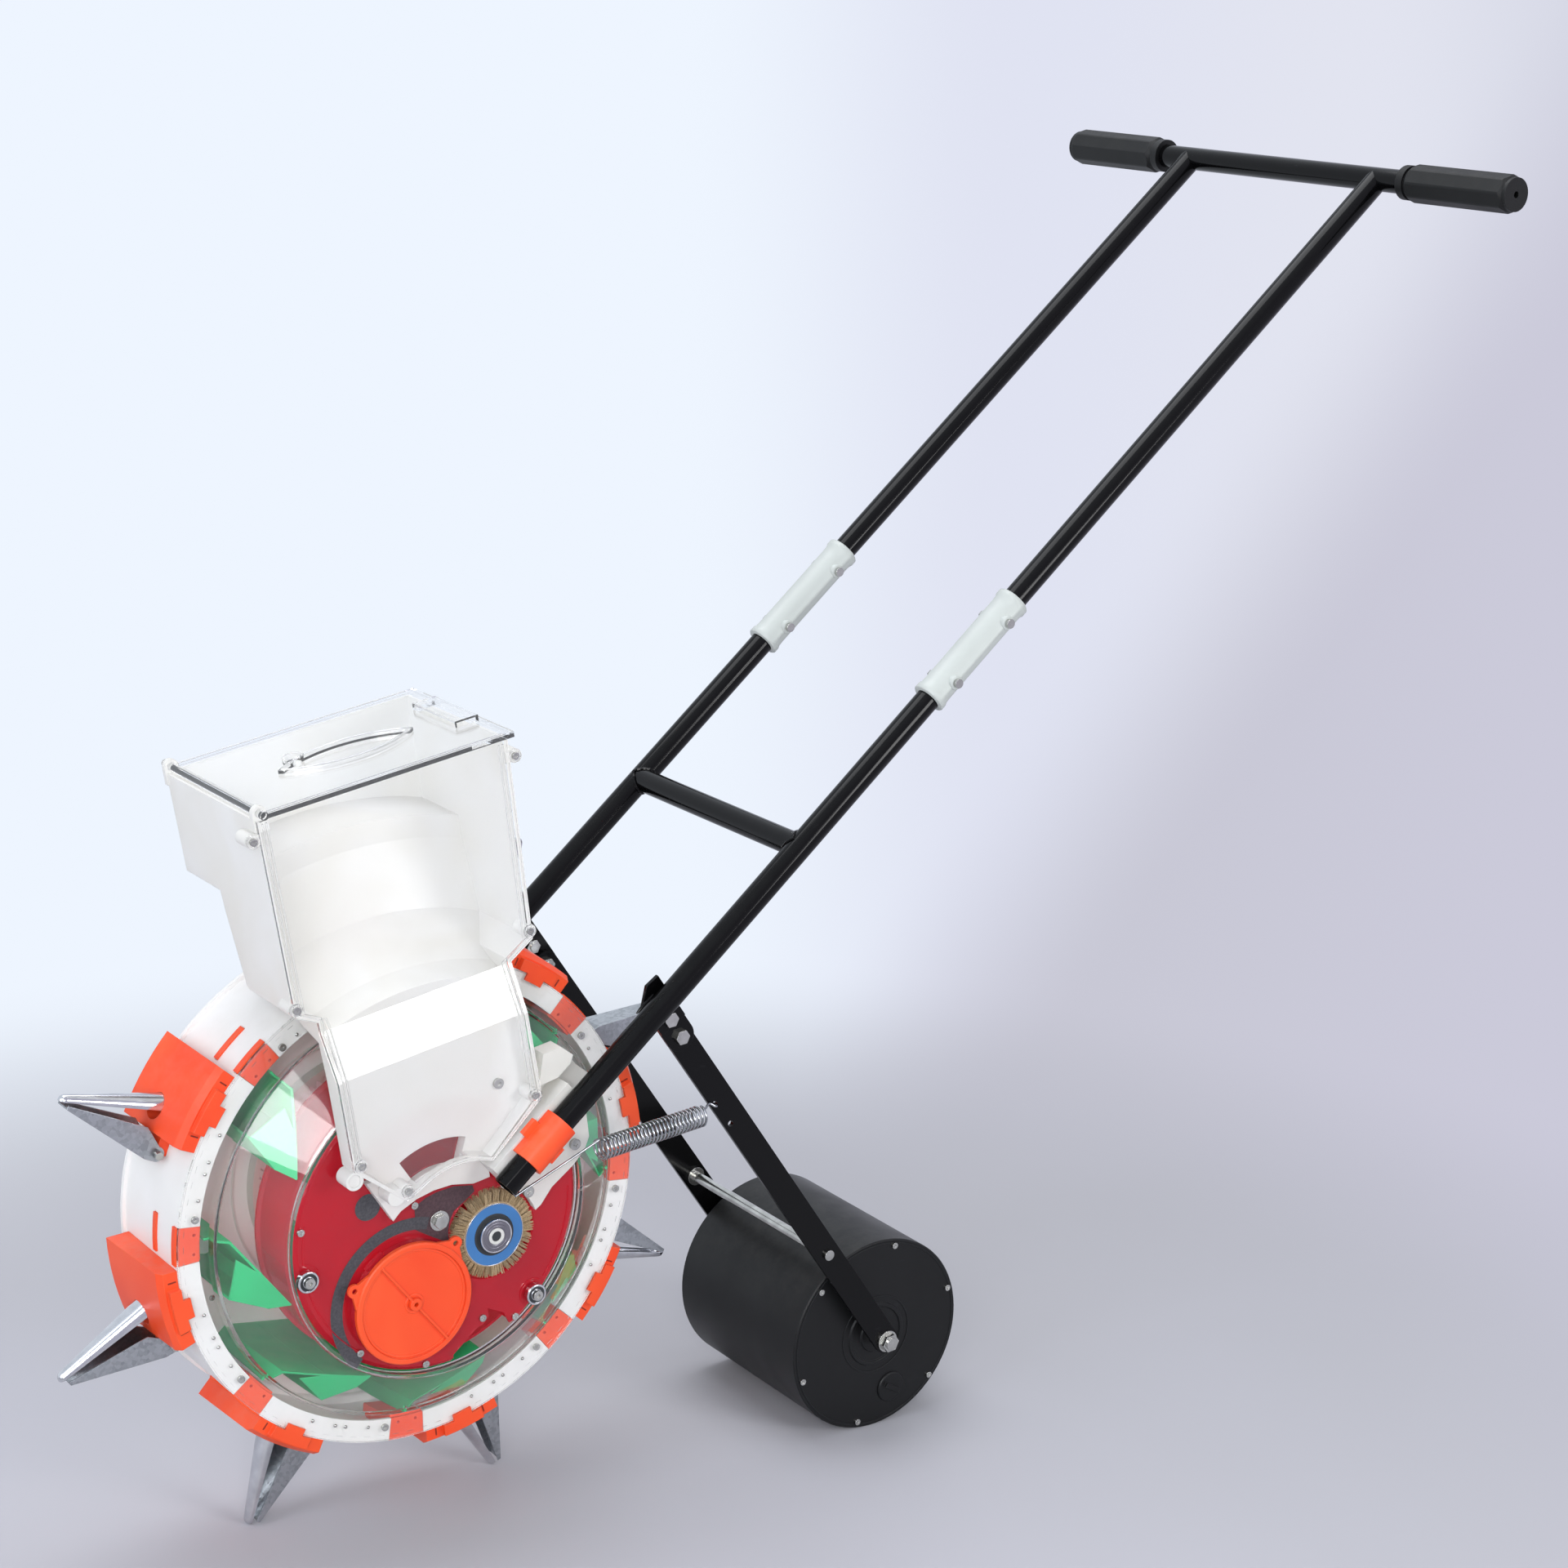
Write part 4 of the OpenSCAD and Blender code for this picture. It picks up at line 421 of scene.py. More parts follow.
@dataclass(frozen=True)
class BareMetal(Recipe):
    """Plated, galvanised or polished steel."""
    colour: str
    dull: str
    roughness: float = 0.16
    line_size: float = 500.0
    bump: float = 0.05
    spangle: float = 0.0
    edge: float = 0.0006

    def paint(self, tree: Coat) -> Socket:
        """Places the material's nodes and returns its shader."""
        edges = tree.effect("soft_edges", Radius=self.edge)
        if self.spangle > 0:
            marks = tree.effect("zinc_spangle", Size=self.spangle)
            low, high = self.roughness + 0.14, self.roughness - 0.08
        else:
            marks = tree.effect("drawn_lines", Size=self.line_size)
            low, high = self.roughness + 0.06, self.roughness - 0.03
        scuffs = tree.effect("handling_scuffs", Amount=0.6)["Mask"]
        rough = tree.gloss(marks["Tone"], low, max(high, 0.03), scuffs, 0.2)
        return tree.first("BsdfPrincipled", {
            "Base Color": tree.blend(marks["Tone"], self.dull, self.colour),
            "Metallic": 1.0, "Roughness": rough,
            "Normal": tree.bump(marks["Height"], self.bump, 0.0003, Normal=edges["Normal"])})


@dataclass(frozen=True)
class PaintedSteel(Recipe):
    """Steel under a sprayed and baked coat."""
    colour: str
    worn: str
    roughness: float = 0.3
    shine: float = 0.5
    peel: float = 0.05
    coat: float = 0.5
    edge: float = 0.0008
    dust: float = 0.06

    def paint(self, tree: Coat) -> Socket:
        """Places the material's nodes and returns its shader."""
        peel = tree.effect("orange_peel", Size=420.0)["Height"]
        tone = tree.effect("mould_grain", Size=1200.0)["Tone"]
        edges = tree.effect("soft_edges", Radius=self.edge)
        scuffs = tree.effect("handling_scuffs", Amount=0.7)["Mask"]
        dust = tree.effect("settled_dust", Amount=self.dust)["Mask"]
        rubbed = tree.math("MULTIPLY", edges["Mask"], tree.remap(tone, 0.3, 0.9, 0.0, 0.35))
        base = tree.blend(rubbed, self.colour, self.worn)
        marked = tree.blend(tree.math("MULTIPLY", scuffs, 0.25), base, self.worn)
        return tree.first("BsdfPrincipled", {
            "Base Color": tree.blend(dust, marked, "A7A39B"), "IOR": 1.5, "Specular IOR Level": self.shine,
            "Roughness": tree.gloss(tone, self.roughness + 0.04, self.roughness - 0.03, scuffs, 0.25),
            "Normal": tree.bump(peel, self.peel, 0.0005, Normal=edges["Normal"]),
            "Coat Weight": self.coat, "Coat Roughness": 0.12})


@dataclass(frozen=True)
class FibreFinish(Recipe):
    """Bristle, felt and other matt fibre."""
    light: str
    dark: str
    fibre_size: float = 1500.0
    roughness: float = 0.8
    sheen: float = 0.3

    def paint(self, tree: Coat) -> Socket:
        """Places the material's nodes and returns its shader."""
        lines = tree.effect("drawn_lines", Size=self.fibre_size)["Height"]
        cells = tree.effect("mould_grain", Size=self.fibre_size)["Height"]
        mixed = tree.math("MULTIPLY", lines, tree.remap(cells, 0.3, 0.7, 0.6, 1.4))
        return tree.first("BsdfPrincipled", {
            "Base Color": tree.blend(tree.remap(mixed, 0.25, 0.75), self.dark, self.light),
            "Roughness": self.roughness, "Normal": tree.bump(mixed, 0.5, 0.0004), "Sheen Weight": self.sheen})


FINISHES: dict[Finish, Recipe] = {
    Finish.IVORY: MouldedPlastic("ivory_moulding", "F3F3F1", "EEEDE8", "F8F8F6", roughness=0.38,
                                 through=0.28),
    Finish.ORANGE: MouldedPlastic("orange_moulding", "FF5A28", "F84A1C", "FF8A5A", roughness=0.4,
                                  through=0.12, grain=0.09),
    Finish.GREEN: MouldedPlastic("green_moulding", "18D483", "12C276", "5AD89A", roughness=0.34, through=0.2),
    Finish.CLEAR_RED: ClearPlastic("clear_red_moulding", "F88A94", "FAB4BA", roughness=0.07, body=0.42,
                                   body_colour="F03A50"),
    Finish.CLEAR: ClearPlastic("clear_moulding", "FFFFFF", "FFFFFF", body=0.02),
    Finish.GEAR: MouldedPlastic("gear_moulding", "E4E3DC", "D6D4CC", "E8E8E2", roughness=0.42, through=0.15),
    Finish.BLUE: MouldedPlastic("blue_moulding", "3F7CBC", "366EA8", "7FA8D2", roughness=0.34),
    Finish.BRISTLE: FibreFinish("tan_fibre", "C6AE88", "8C7656", sheen=0.2, roughness=0.6),
    Finish.CHROME: BareMetal("chrome_plate", "DCDDE0", "C4C6CA", roughness=0.09, bump=0.03),
    Finish.GALVANISED: BareMetal("galvanised_sheet", "B4B8BC", "7E8388", roughness=0.36, bump=0.25,
                                 spangle=330.0),
    Finish.ZINC: BareMetal("zinc_plate", "CDCDC8", "ACACA8", roughness=0.2, bump=0.06),
    # Darker than the zinc: partly the wire's own tone, partly painted shade for the shadowed gaps between the
    # coils.
    Finish.SPRING: BareMetal("spring_plate_shaded", "B9BBBE", "8E9296", roughness=0.18, bump=0.02, line_size=900.0,
                             edge=0.0),
    Finish.BLACK_STEEL: PaintedSteel("black_coat", "070708", "2C2E31", roughness=0.13, shine=0.16, coat=0.05,
                                     dust=0.01, peel=0.012, edge=0.0004),
    Finish.RUBBER: MouldedPlastic("black_rubber_grip", "0D0E0F", "0A0B0B", "2A2B2E", roughness=0.5,
                                  grain=0.35, grain_size=1500.0, scuffs=0.3, dust=0.03, shine=0.3),
    Finish.BLACK_PLASTIC: MouldedPlastic("black_moulding", "0C0D0E", "090A0B", "33363A", roughness=0.42,
                                         grain=0.1, scuffs=0.5, dust=0.03, shine=0.3),
}
# A brighter copy of the ivory for the drum: painted light that lifts the inside of the drum.
WHEEL_IVORY_PAINTED_LIGHT = MouldedPlastic("wheel_moulding_painted_light", "FCFCFB", "F6F6F3", "FFFFFF", roughness=0.4, through=0.2)
# A darker copy of the ivory for the sleeves: partly their own grey-white, partly painted shade against the
# near lamp's glare.
SLEEVE_IVORY_SHADED = MouldedPlastic("sleeve_moulding_shaded", "BEC4C1", "B8BEBB", "C8CDCA", roughness=0.46, edge=0.0,
                              grain=0.0, scuffs=0.0, dust=0.0)
# Dark grey fibre for the band round the cap and for the plug: the band's darkness is partly painted shade.
FELT_AND_SHADE = FibreFinish("grey_felt_and_shade", "4B4B50", "3A3A40", fibre_size=500.0, roughness=0.95, sheen=0.2)
# Painted shade: the dark sheet over the brush's well.
WELL_SHADE = FibreFinish("brush_well", "523C42", "402E34", fibre_size=500.0, roughness=0.9, sheen=0.1)
# Dark rubber for the bearings' seals; on the brush's bearing cup its flat ring is painted shade.
DARK_RUBBER_AND_SHADE = MouldedPlastic("dark_rubber_and_shade", "303438", "24282B", "4A4E52", roughness=0.6, grain=0.3)
BEARING_FACE = BareMetal("bearing_face", "8E8C94", "7A7880", roughness=0.34, line_size=900.0)
# Dark orange strips: painted shade inside the seats' slits.
SLIT_SHADE = MouldedPlastic("shadowed_orange", "8E2408", "7A1C06", "A83412", roughness=0.6)


class Wardrobe:
    """Builds each material once and puts it on the CAD nodes."""

    def __init__(self, effects: EffectLibrary) -> None:
        """Keeps the shared effects and starts with no material built."""
        self.effects = effects
        self.built: dict[str, bpy.types.Material] = {}

    def material(self, finish: Finish, recipe: Optional[Recipe] = None) -> bpy.types.Material:
        """Returns the material of a finish, or of a recipe that takes its place."""
        chosen = recipe or FINISHES[finish]
        if chosen.name not in self.built:
            self.built[chosen.name] = chosen.build(self.effects)
        return self.built[chosen.name]

    def dress(self, finish: Finish, *names: str, recipe: Optional[Recipe] = None) -> None:
        """Puts a finish on CAD nodes.

        Args:
            finish: The finish to use.
            names: The nodes' names.
            recipe: A variant of the finish for these nodes alone.
        """
        material = self.material(finish, recipe)
        for name in names:
            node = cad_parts[name]
            if node.material_slots:
                for slot in node.material_slots:
                    slot.material = material
            else:
                node.data.materials.append(material)
            LOG.info("%s: %s", name, finish.value)


# Frames of the planter, in millimetres

def polar(radius: float, degrees: float) -> Pair:
    """Returns the x and z of a place on a circle, measured from +X towards +Z."""
    a = math.radians(degrees)
    return radius * math.cos(a), radius * math.sin(a)


def hanging(radius: float, degrees: float) -> Pair:
    """Returns the x and z of a place on a circle, measured from straight down."""
    a = math.radians(degrees)
    return radius * math.sin(a), -radius * math.cos(a)


def turn(degrees: float) -> Matrix:
    """Returns a right-hand turn about the wheel's axis."""
    return Matrix.Rotation(math.radians(degrees), 4, "Y")


def spot(x: float, z: float) -> Matrix:
    """Returns a move in the side view."""
    return Matrix.Translation((x, 0.0, z))


@dataclass(frozen=True)
class Layout:
    """The places that the sub-assemblies share."""
    axle_x: float = -331.46
    axle_z: float = 296.52
    pitch: float = 12.0
    slope: float = 31.1
    tube_u: float = 47.2
    tube_w: float = 26.4
    tube_y: float = 127.4
    pivot_u: float = 242.2
    pivot_w: float = 91.1
    arm_len: float = 427.0
    roller_r: float = 94.9
    cap_at: float = 235.9
    cap_dist: float = 71.25
    brush_at: float = -33.8
    brush_dist: float = 55.0
    spikes: int = 8
    first_spike: float = 22.5

    @property
    def axle(self) -> Matrix:
        """The wheel's axle."""
        return spot(self.axle_x, self.axle_z)

    @property
    def chassis(self) -> Matrix:
        """What is fixed to the chassis, drawn level."""
        return self.axle @ turn(-self.pitch)

    def spike_at(self, k: int) -> float:
        """The angle of a duckbill from straight down, in degrees."""
        return self.first_spike + 360.0 / self.spikes * k

    def tube(self, side: int) -> Matrix:
        """Along a handle tube, from its lower end up."""
        foot = Matrix.Translation((self.tube_u, side * self.tube_y, self.tube_w))
        return self.chassis @ foot @ turn(-self.slope)

    @property
    def arm_drop(self) -> float:
        """The yoke arms' slope in the world, in degrees."""
        a = math.radians(self.pitch)
        height = self.pivot_u * math.sin(a) + self.pivot_w * math.cos(a)
        return math.degrees(math.asin((self.axle_z + height - self.roller_r) / self.arm_len))

    @property
    def arm(self) -> Matrix:
        """Along the yoke's arms, from the pivot to the roller's axle."""
        return self.chassis @ spot(self.pivot_u, self.pivot_w) @ turn(self.pitch + self.arm_drop)

    @property
    def roller(self) -> Matrix:
        """The roller's axis, with its own level axes."""
        return self.arm @ spot(self.arm_len, 0.0) @ turn(-self.arm_drop)

    @property
    def cap(self) -> Matrix:
        """The metering cap's axis."""
        return self.chassis @ spot(*polar(self.cap_dist, self.cap_at))

    @property
    def brush(self) -> Matrix:
        """The brush's axis."""
        return self.chassis @ spot(*polar(self.brush_dist, self.brush_at))


PLACE = Layout()


# Mesh building, in millimetres

class Piece:
    """Collects mesh parts in one frame and turns them into an object that rides on a body."""

    def __init__(self, name: str, at: Matrix) -> None:
        """Starts an empty piece.

        Args:
            name: The piece's name.
            at: The frame that its parts are drawn in, in millimetres.
        """
        self.name = name
        self.at = at
        self.mesh = bmesh.new()

    def skin(self, rings: Sequence[Sequence[Vector]], at: Matrix = HERE, loop: bool = False) -> None:
        """Skins closed rings of points and closes both ends.

        Args:
            rings: The rings, each with the same number of points.
            at: A frame inside the piece's own frame.
            loop: True if the last ring joins the first, which leaves no ends.
        """
        whole = self.at @ at
        verts = [[self.mesh.verts.new(whole @ p) for p in ring] for ring in rings]
        count = len(verts[0])
        for i in range(len(verts) if loop else len(verts) - 1):
            a, b = verts[i], verts[(i + 1) % len(verts)]
            for j in range(count):
                q = (j + 1) % count
                self.mesh.faces.new((a[j], a[q], b[q], b[j]))
        if not loop:
            self.mesh.faces.new(verts[0][::-1])
            self.mesh.faces.new(verts[-1])

    def turned(self, profile: Sequence[Pair], start: float = 0.0, sweep: float = 360.0, steps: int = 96,
               at: Matrix = HERE) -> None:
        """Turns a closed profile about Y.

        Args:
            profile: Corners as radius and y, in order.
            start: First angle in degrees, from +X towards +Z.
            sweep: Angle covered.
            steps: Steps over the sweep.
            at: A frame inside the piece's own frame.
        """
        full = abs(sweep) >= 360
        rings = []
        for i in range(steps if full else steps + 1):
            a = math.radians(start + sweep * i / steps)
            rings.append([Vector((r * math.cos(a), y, r * math.sin(a))) for r, y in profile])
        self.skin(rings, at, full)

    def slab(self, outline: Sequence[Pair], y0: float, y1: float) -> None:
        """Makes a side view in (x, z) solid between two depths."""
        self.skin([[Vector((x, y, z)) for x, z in outline] for y in (y0, y1)])

    def sweep(self, path: Sequence[Vector], radius: float | Sequence[float], sides: int = 10,
              closed: bool = False, at: Matrix = HERE) -> None:
        """Runs a round section along a path.

        Args:
            path: Points of the middle line.
            radius: One radius, or one for each point.
            sides: Sides of the section.
            closed: True if the path is a loop.
            at: A frame inside the piece's own frame.
        """
        n = len(path)
        radii = [radius] * n if isinstance(radius, (int, float)) else list(radius)
        rings, across = [], Vector((0.13, 0.29, 1.0))
        for i, p in enumerate(path):
            before = path[(i - 1) % n] if closed or i else p
            after = path[(i + 1) % n] if closed or i < n - 1 else p
            ahead = (after - before).normalized()
            across = (across - ahead * across.dot(ahead)).normalized()
            other = ahead.cross(across)
            rings.append([p + (across * math.cos(2 * math.pi * s / sides)
                               + other * math.sin(2 * math.pi * s / sides)) * radii[i] for s in range(sides)])
        self.skin(rings, at, closed)

    def done(self, body: Optional[Body], slot: Finish, material: bpy.types.Material, smooth: float = 35.0,
             bevel: float = 0.0) -> bpy.types.Object:
        """Closes the piece and puts it on its body.

        Args:
            body: The body that it rides on, or none, which leaves it on no body.
            slot: The record's slot. Not used.
            material: Its material.
            smooth: Edges sharper than this many degrees stay sharp.
            bevel: Width of a rounded edge, in millimetres, or none.

        Returns:
            The finished object.
        """
        bmesh.ops.scale(self.mesh, vec=(MM, MM, MM), verts=self.mesh.verts)
        bmesh.ops.recalc_face_normals(self.mesh, faces=self.mesh.faces)
        data = bpy.data.meshes.new(self.name)
        self.mesh.to_mesh(data)
        self.mesh.free()
        data.materials.append(material)
        for face in data.polygons:
            face.use_smooth = True
        data.set_sharp_from_angle(angle=math.radians(smooth))
        made = bpy.data.objects.new(self.name, data)
        bpy.context.collection.objects.link(made)
        if bevel > 0:
            rounded = made.modifiers.new("rounded", "BEVEL")
            rounded.width, rounded.segments, rounded.limit_method = bevel * MM, 2, "ANGLE"
            rounded.angle_limit = math.radians(40)
        if body is not None:
            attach(made, body.value)
        LOG.info("%s is made", self.name)
        return made


def arc(radius: float, start: float, end: float, steps: int, y: float = 0.0) -> list[Vector]:
    """Returns points on an arc about Y."""
    spots = (polar(radius, start + (end - start) * i / steps) for i in range(steps + 1))
    return [Vector((x, y, z)) for x, z in spots]


def curve_through(points: Sequence[Vector], steps: int) -> list[Vector]:
    """Returns a smooth line through points.

    Args:
        points: The points, first and last included.
        steps: Steps between two points.

    Returns:
        The line's points.
    """
    out: list[Vector] = []
    for i in range(len(points) - 1):
        a, b = points[max(i - 1, 0)], points[i]
        c, d = points[i + 1], points[min(i + 2, len(points) - 1)]
        for s in range(steps):
            t = s / steps
            out.append(0.5 * (2 * b + (c - a) * t + (2 * a - 5 * b + 4 * c - d) * t * t
                              + (3 * b - a - 3 * c + d) * t ** 3))
    out.append(points[-1].copy())
    return out


def oblong(a0: float, a1: float, b0: float, b1: float) -> list[Pair]:
    """Returns the corners of a rectangle from its two sides' ends."""
    return [(a0, b0), (a1, b0), (a1, b1), (a0, b1)]


def raised(radii: Sequence[float], y: float, proud: float, sink: float = 0.2) -> list[Pair]:
    """Returns the profile of a raised ring.

    Args:
        radii: Radii of its inner foot, inner top, outer top and outer foot.
        y: The face that it stands on.
        proud: How far it stands out, along Y.
        sink: How far its feet lie inside that face.

    Returns:
        Corners as radius and y, in order.
    """
    foot, top = y - math.copysign(sink, proud), y + proud
    return list(zip(radii, (foot, top, top, foot)))


def dome(y: float, radius: float, height: float) -> list[Pair]:
    """Returns the profile of a round screw head.

    Args:
        y: The face that it sits on. It stands out towards the near side.
        radius: The head's radius.
        height: How far it stands out. The middle dips a little.

    Returns:
        Corners as radius and y, in order.
    """
    shares = ((0.22, 0.6), (0.45, 1.0), (0.75, 0.82), (0.95, 0.4))
    shell = [(radius * r, y - height * h) for r, h in shares]
    return [(0.01, y - height * 0.55), *shell, (radius, y), (0.01, y)]


# Sub-assemblies

@dataclass
class Assembly:
    """A sub-assembly, which dresses its CAD nodes and adds pieces of its own."""
    wardrobe: Wardrobe
    wears: ClassVar[dict[Finish, tuple[str, ...]]] = {}

    def add(self, piece: Piece, body: Optional[Body], finish: Finish, recipe: Optional[Recipe] = None,
            **shape: float) -> bpy.types.Object:
        """Closes a piece in its finish, or in a recipe of its own, and puts it on its body."""
        return piece.done(body, finish, self.wardrobe.material(finish, recipe), **shape)

    def details(self) -> None:
        """Adds the sub-assembly's own pieces."""
        raise NotImplementedError

    def build(self) -> None:
        """Makes the whole sub-assembly."""
        for finish, names in self.wears.items():
            self.wardrobe.dress(finish, *names)
        self.details()
        LOG.info("%s is built", type(self).__name__)


@dataclass
class SeedWheel(Assembly):
    """The drum with its clear cover, duckbills, blocks, scoops and ring gear."""
    cover_face_y: float = -47.5
    seat_face_y: float = -44.2
    plate_y: float = 50.0
    ring_peg_r: float = 203.5
    ring_peg_at: tuple[float, ...] = (-4.3, 2.4, 5.3, 11.7)
    dash_r: float = 212.4
    dashes: int = 96
    cover_rings: tuple[Triple, ...] = ((140.6, -92.4, 0.6), (189.2, -54.9, 0.45), (216.6, -47.4, 0.4))
    slit_r: Pair = (219.5, 226.5)
    slit_at: Pair = (-14.6, -2.2)
    scoop_foot: Pair = (181.0, -6.6)
    scoop_screw: Pair = (8.0, 6.0)
    plate_screws: tuple[Pair, ...] = ((186.0, -1.2), (190.0, -9.9), (170.0, 12.0), (197.0, 17.0))
    plate_ring_r: tuple[float, ...] = (118.0, 206.0)
    wears = {
        Finish.GEAR: ("ring_gear",),
        Finish.CLEAR: ("side_cover",),
        Finish.ZINC: ("drum_screws", "beak_pins"),
        Finish.ORANGE: ("duckbill_seats", "seed_blocks"),
        Finish.CHROME: ("fixed_beaks",),
        Finish.GREEN: ("seed_scoops",),
        Finish.GALVANISED: tuple(f"flap_{k + 1}" for k in range(PLACE.spikes)),
    }

    def cover_details(self) -> None:
        """Adds the clear cover's small pegs, its ring of dashes and its three round beads."""
        pegs = Piece("cover_pegs", PLACE.axle)
        y = self.cover_face_y
        peg = [(0.01, y + 0.2), (0.01, y - 1.1), (0.8, y - 1.0), (1.3, y - 0.6), (1.6, y + 0.2)]
        for k in range(PLACE.spikes):
            for delta in self.ring_peg_at:
                pegs.turned(peg, steps=14, at=spot(*hanging(self.ring_peg_r, PLACE.spike_at(k) + delta)))
        self.add(pegs, Body.DRUM, Finish.ZINC)
        dashes = Piece("cover_dashes", PLACE.axle)
        r = self.dash_r
        for i in range(self.dashes):
            dashes.turned(raised((r - 0.35, r - 0.2, r + 0.2, r + 0.35), y, -0.28, 0.1),
                          start=360.0 * i / self.dashes, sweep=1.5, steps=3)
        self.add(dashes, Body.DRUM, Finish.CLEAR)
        beads = Piece("cover_beads", PLACE.axle)
        for radius, depth, size in self.cover_rings:
            beads.sweep(arc(radius, 0, 358.75, 287, depth), size, 6, closed=True)
        self.add(beads, Body.DRUM, Finish.CLEAR)

    def seat_details(self) -> None:
        """Adds the slits of the orange seats as thin dark orange strips: painted shade for the inside of each
        slit.
        """
        slits = Piece("seat_slits", PLACE.axle)
        slit = oblong(*self.slit_r, self.seat_face_y, self.seat_face_y - 0.7)
        for k in range(PLACE.spikes):
            for delta in self.slit_at:
                slits.turned(slit, start=-90.15 + delta, sweep=0.3, steps=1, at=turn(-PLACE.spike_at(k)))
        self.add(slits, Body.DRUM, Finish.ORANGE, SLIT_SHADE)

    def back_plate_details(self) -> None:
        """Adds the screws that hold the scoops and the plate's raised rings."""
        screws = Piece("scoop_screws", PLACE.axle)
        x, z = (a + b for a, b in zip(hanging(*self.scoop_foot), self.scoop_screw))
        for k in range(PLACE.spikes):
            spike = turn(-PLACE.spike_at(k))
            screws.turned(dome(47.5, 3.2, 2.0), steps=20, at=spike @ spot(x, z))
            for r, delta in self.plate_screws:
                screws.turned(dome(self.plate_y, 2.8, 1.6), steps=20, at=spike @ spot(*hanging(r, delta)))
        self.add(screws, Body.DRUM, Finish.ZINC)
        rings = Piece("plate_rings", PLACE.axle)
        for r in self.plate_ring_r:
            rings.turned(raised((r - 1.4, r - 1.0, r + 1.0, r + 1.4), self.plate_y, -1.2), steps=144)
        self.add(rings, Body.DRUM, Finish.IVORY)

    def details(self) -> None:
        """Gives the drum a brighter copy of the ivory, painted light that lifts the drum's inside, and adds
        the wheel's own pieces.
        """
        self.wardrobe.dress(Finish.IVORY, "drum_shell", recipe=WHEEL_IVORY_PAINTED_LIGHT)
        self.cover_details()
        self.seat_details()
        self.back_plate_details()


@dataclass
class SeedChamber(Assembly):
    """The clear red chamber with its felt band, plug, axle and guide bearings. The band's dark grey is partly
    painted shade, and a dark sheet over the brush's well is painted shade.
    """
    plate_y: float = -90.0
    bearing_r: float = 127.4
    bearing_at: tuple[float, ...] = (181.4, -53.4, 57.3)
    seal_y: float = -96.3
    felt_shade_r: Pair = (62.0, 73.0)
    felt_shade_start: float = 64.0
    felt_shade_sweep: float = 152.0
    plug_at: Pair = (-61.4, 37.6)
    plug_r: float = 12.0
    line_r: float = 127.0
    boss_line_r: float = 12.6
    line_spans: tuple[tuple[float, float, int], ...] = (
        (160.0, 175.5, 14), (187.5, 226.0, 30), (-46.0, -8.0, 30))
    wears = {
        Finish.CLEAR_RED: ("seed_chamber",),
        Finish.ZINC: ("chamber_screws", "wheel_axle", "guide_bolts"),
        Finish.CHROME: ("guide_bearing_a", "guide_bearing_b", "guide_bearing_c"),
    }

    def backing(self) -> None:
        """Adds the felt band, the plug and the brush's well, thin on the front of the plate. The band is part
        felt and part painted shade; the well is a dark sheet of painted shade.
        """
        front, back = self.plate_y - 0.25, self.plate_y + 0.3
        # The dark grey C band round the cap: part felt, part painted shade.
        felt = Piece("chamber_felt_and_shade", PLACE.cap)
        felt.turned(oblong(*self.felt_shade_r, front, back), self.felt_shade_start, self.felt_shade_sweep, 60)
        self.add(felt, Body.CHASSIS, Finish.RUBBER, FELT_AND_SHADE)
        plug = Piece("chamber_plug", PLACE.chassis @ spot(*self.plug_at))
        plug.turned([(0.01, front), (self.plug_r - 0.4, front), (self.plug_r, back), (0.01, back)], steps=48)
        self.add(plug, Body.CHASSIS, Finish.RUBBER, FELT_AND_SHADE)
        # Painted shade: a dark sheet where the brush's well lies in shadow.
        well = Piece("chamber_well_painted_shade", PLACE.chassis)
        well.slab(((-27.0, 4.0), (-21.0, 12.0), (-20.0, 21.0), (-8.0, 25.0), (2.5, 26.0), (18.4, 25.0),
                   (36.0, 19.0), (37.0, 13.0), (27.0, 8.0), (15.0, 3.0), (9.5, -5.0), (6.5, -14.0),
                   (5.5, -24.0), (-9.0, -12.0)), front + 0.1, back)
        self.add(well, Body.CHASSIS, Finish.RUBBER, WELL_SHADE)

    def details(self) -> None:
        """Adds the pieces that show through the red plate and its mould lines."""
        self.backing()
        seals = Piece("bearing_seals", PLACE.chassis)
        for at in self.bearing_at:
            seals.turned(raised((5.45, 5.45, 7.35, 7.35), self.seal_y, -0.4, 0.0), steps=40,
                         at=spot(*polar(self.bearing_r, at)))
        self.add(seals, Body.CHASSIS, Finish.RUBBER, DARK_RUBBER_AND_SHADE)
        lines = Piece("chamber_mould_lines", PLACE.chassis)
        y = self.plate_y - 0.2
        for start, end, steps in self.line_spans:
            lines.sweep(arc(self.line_r, start, end, steps, y), 0.7, 6)
        for at in self.bearing_at[:2]:
            boss = spot(*polar(self.bearing_r, at))
            lines.sweep(arc(self.boss_line_r, at + 100, at + 260, 24, y), 0.7, 6, at=boss)
        self.add(lines, Body.CHASSIS, Finish.CLEAR_RED)


@dataclass
class MeteringCap(Assembly):
    """The orange bayonet cap, the seed roller and its gear."""
    face_y: float = -100.3
    wears = {Finish.GEAR: ("seed_roller", "metering_gear"), Finish.ORANGE: ("metering_cap",)}

    def details(self) -> None:
        """Adds the cap's raised rings."""
        ring = Piece("cap_ring", PLACE.cap)
        ring.turned(raised((46.4, 46.8, 48.4, 49.2), self.face_y, -0.7), steps=120)
        ring.turned(raised((6.2, 6.4, 8.6, 9.4), self.face_y, -0.8), steps=40)
        self.add(ring, Body.CAP, Finish.ORANGE)


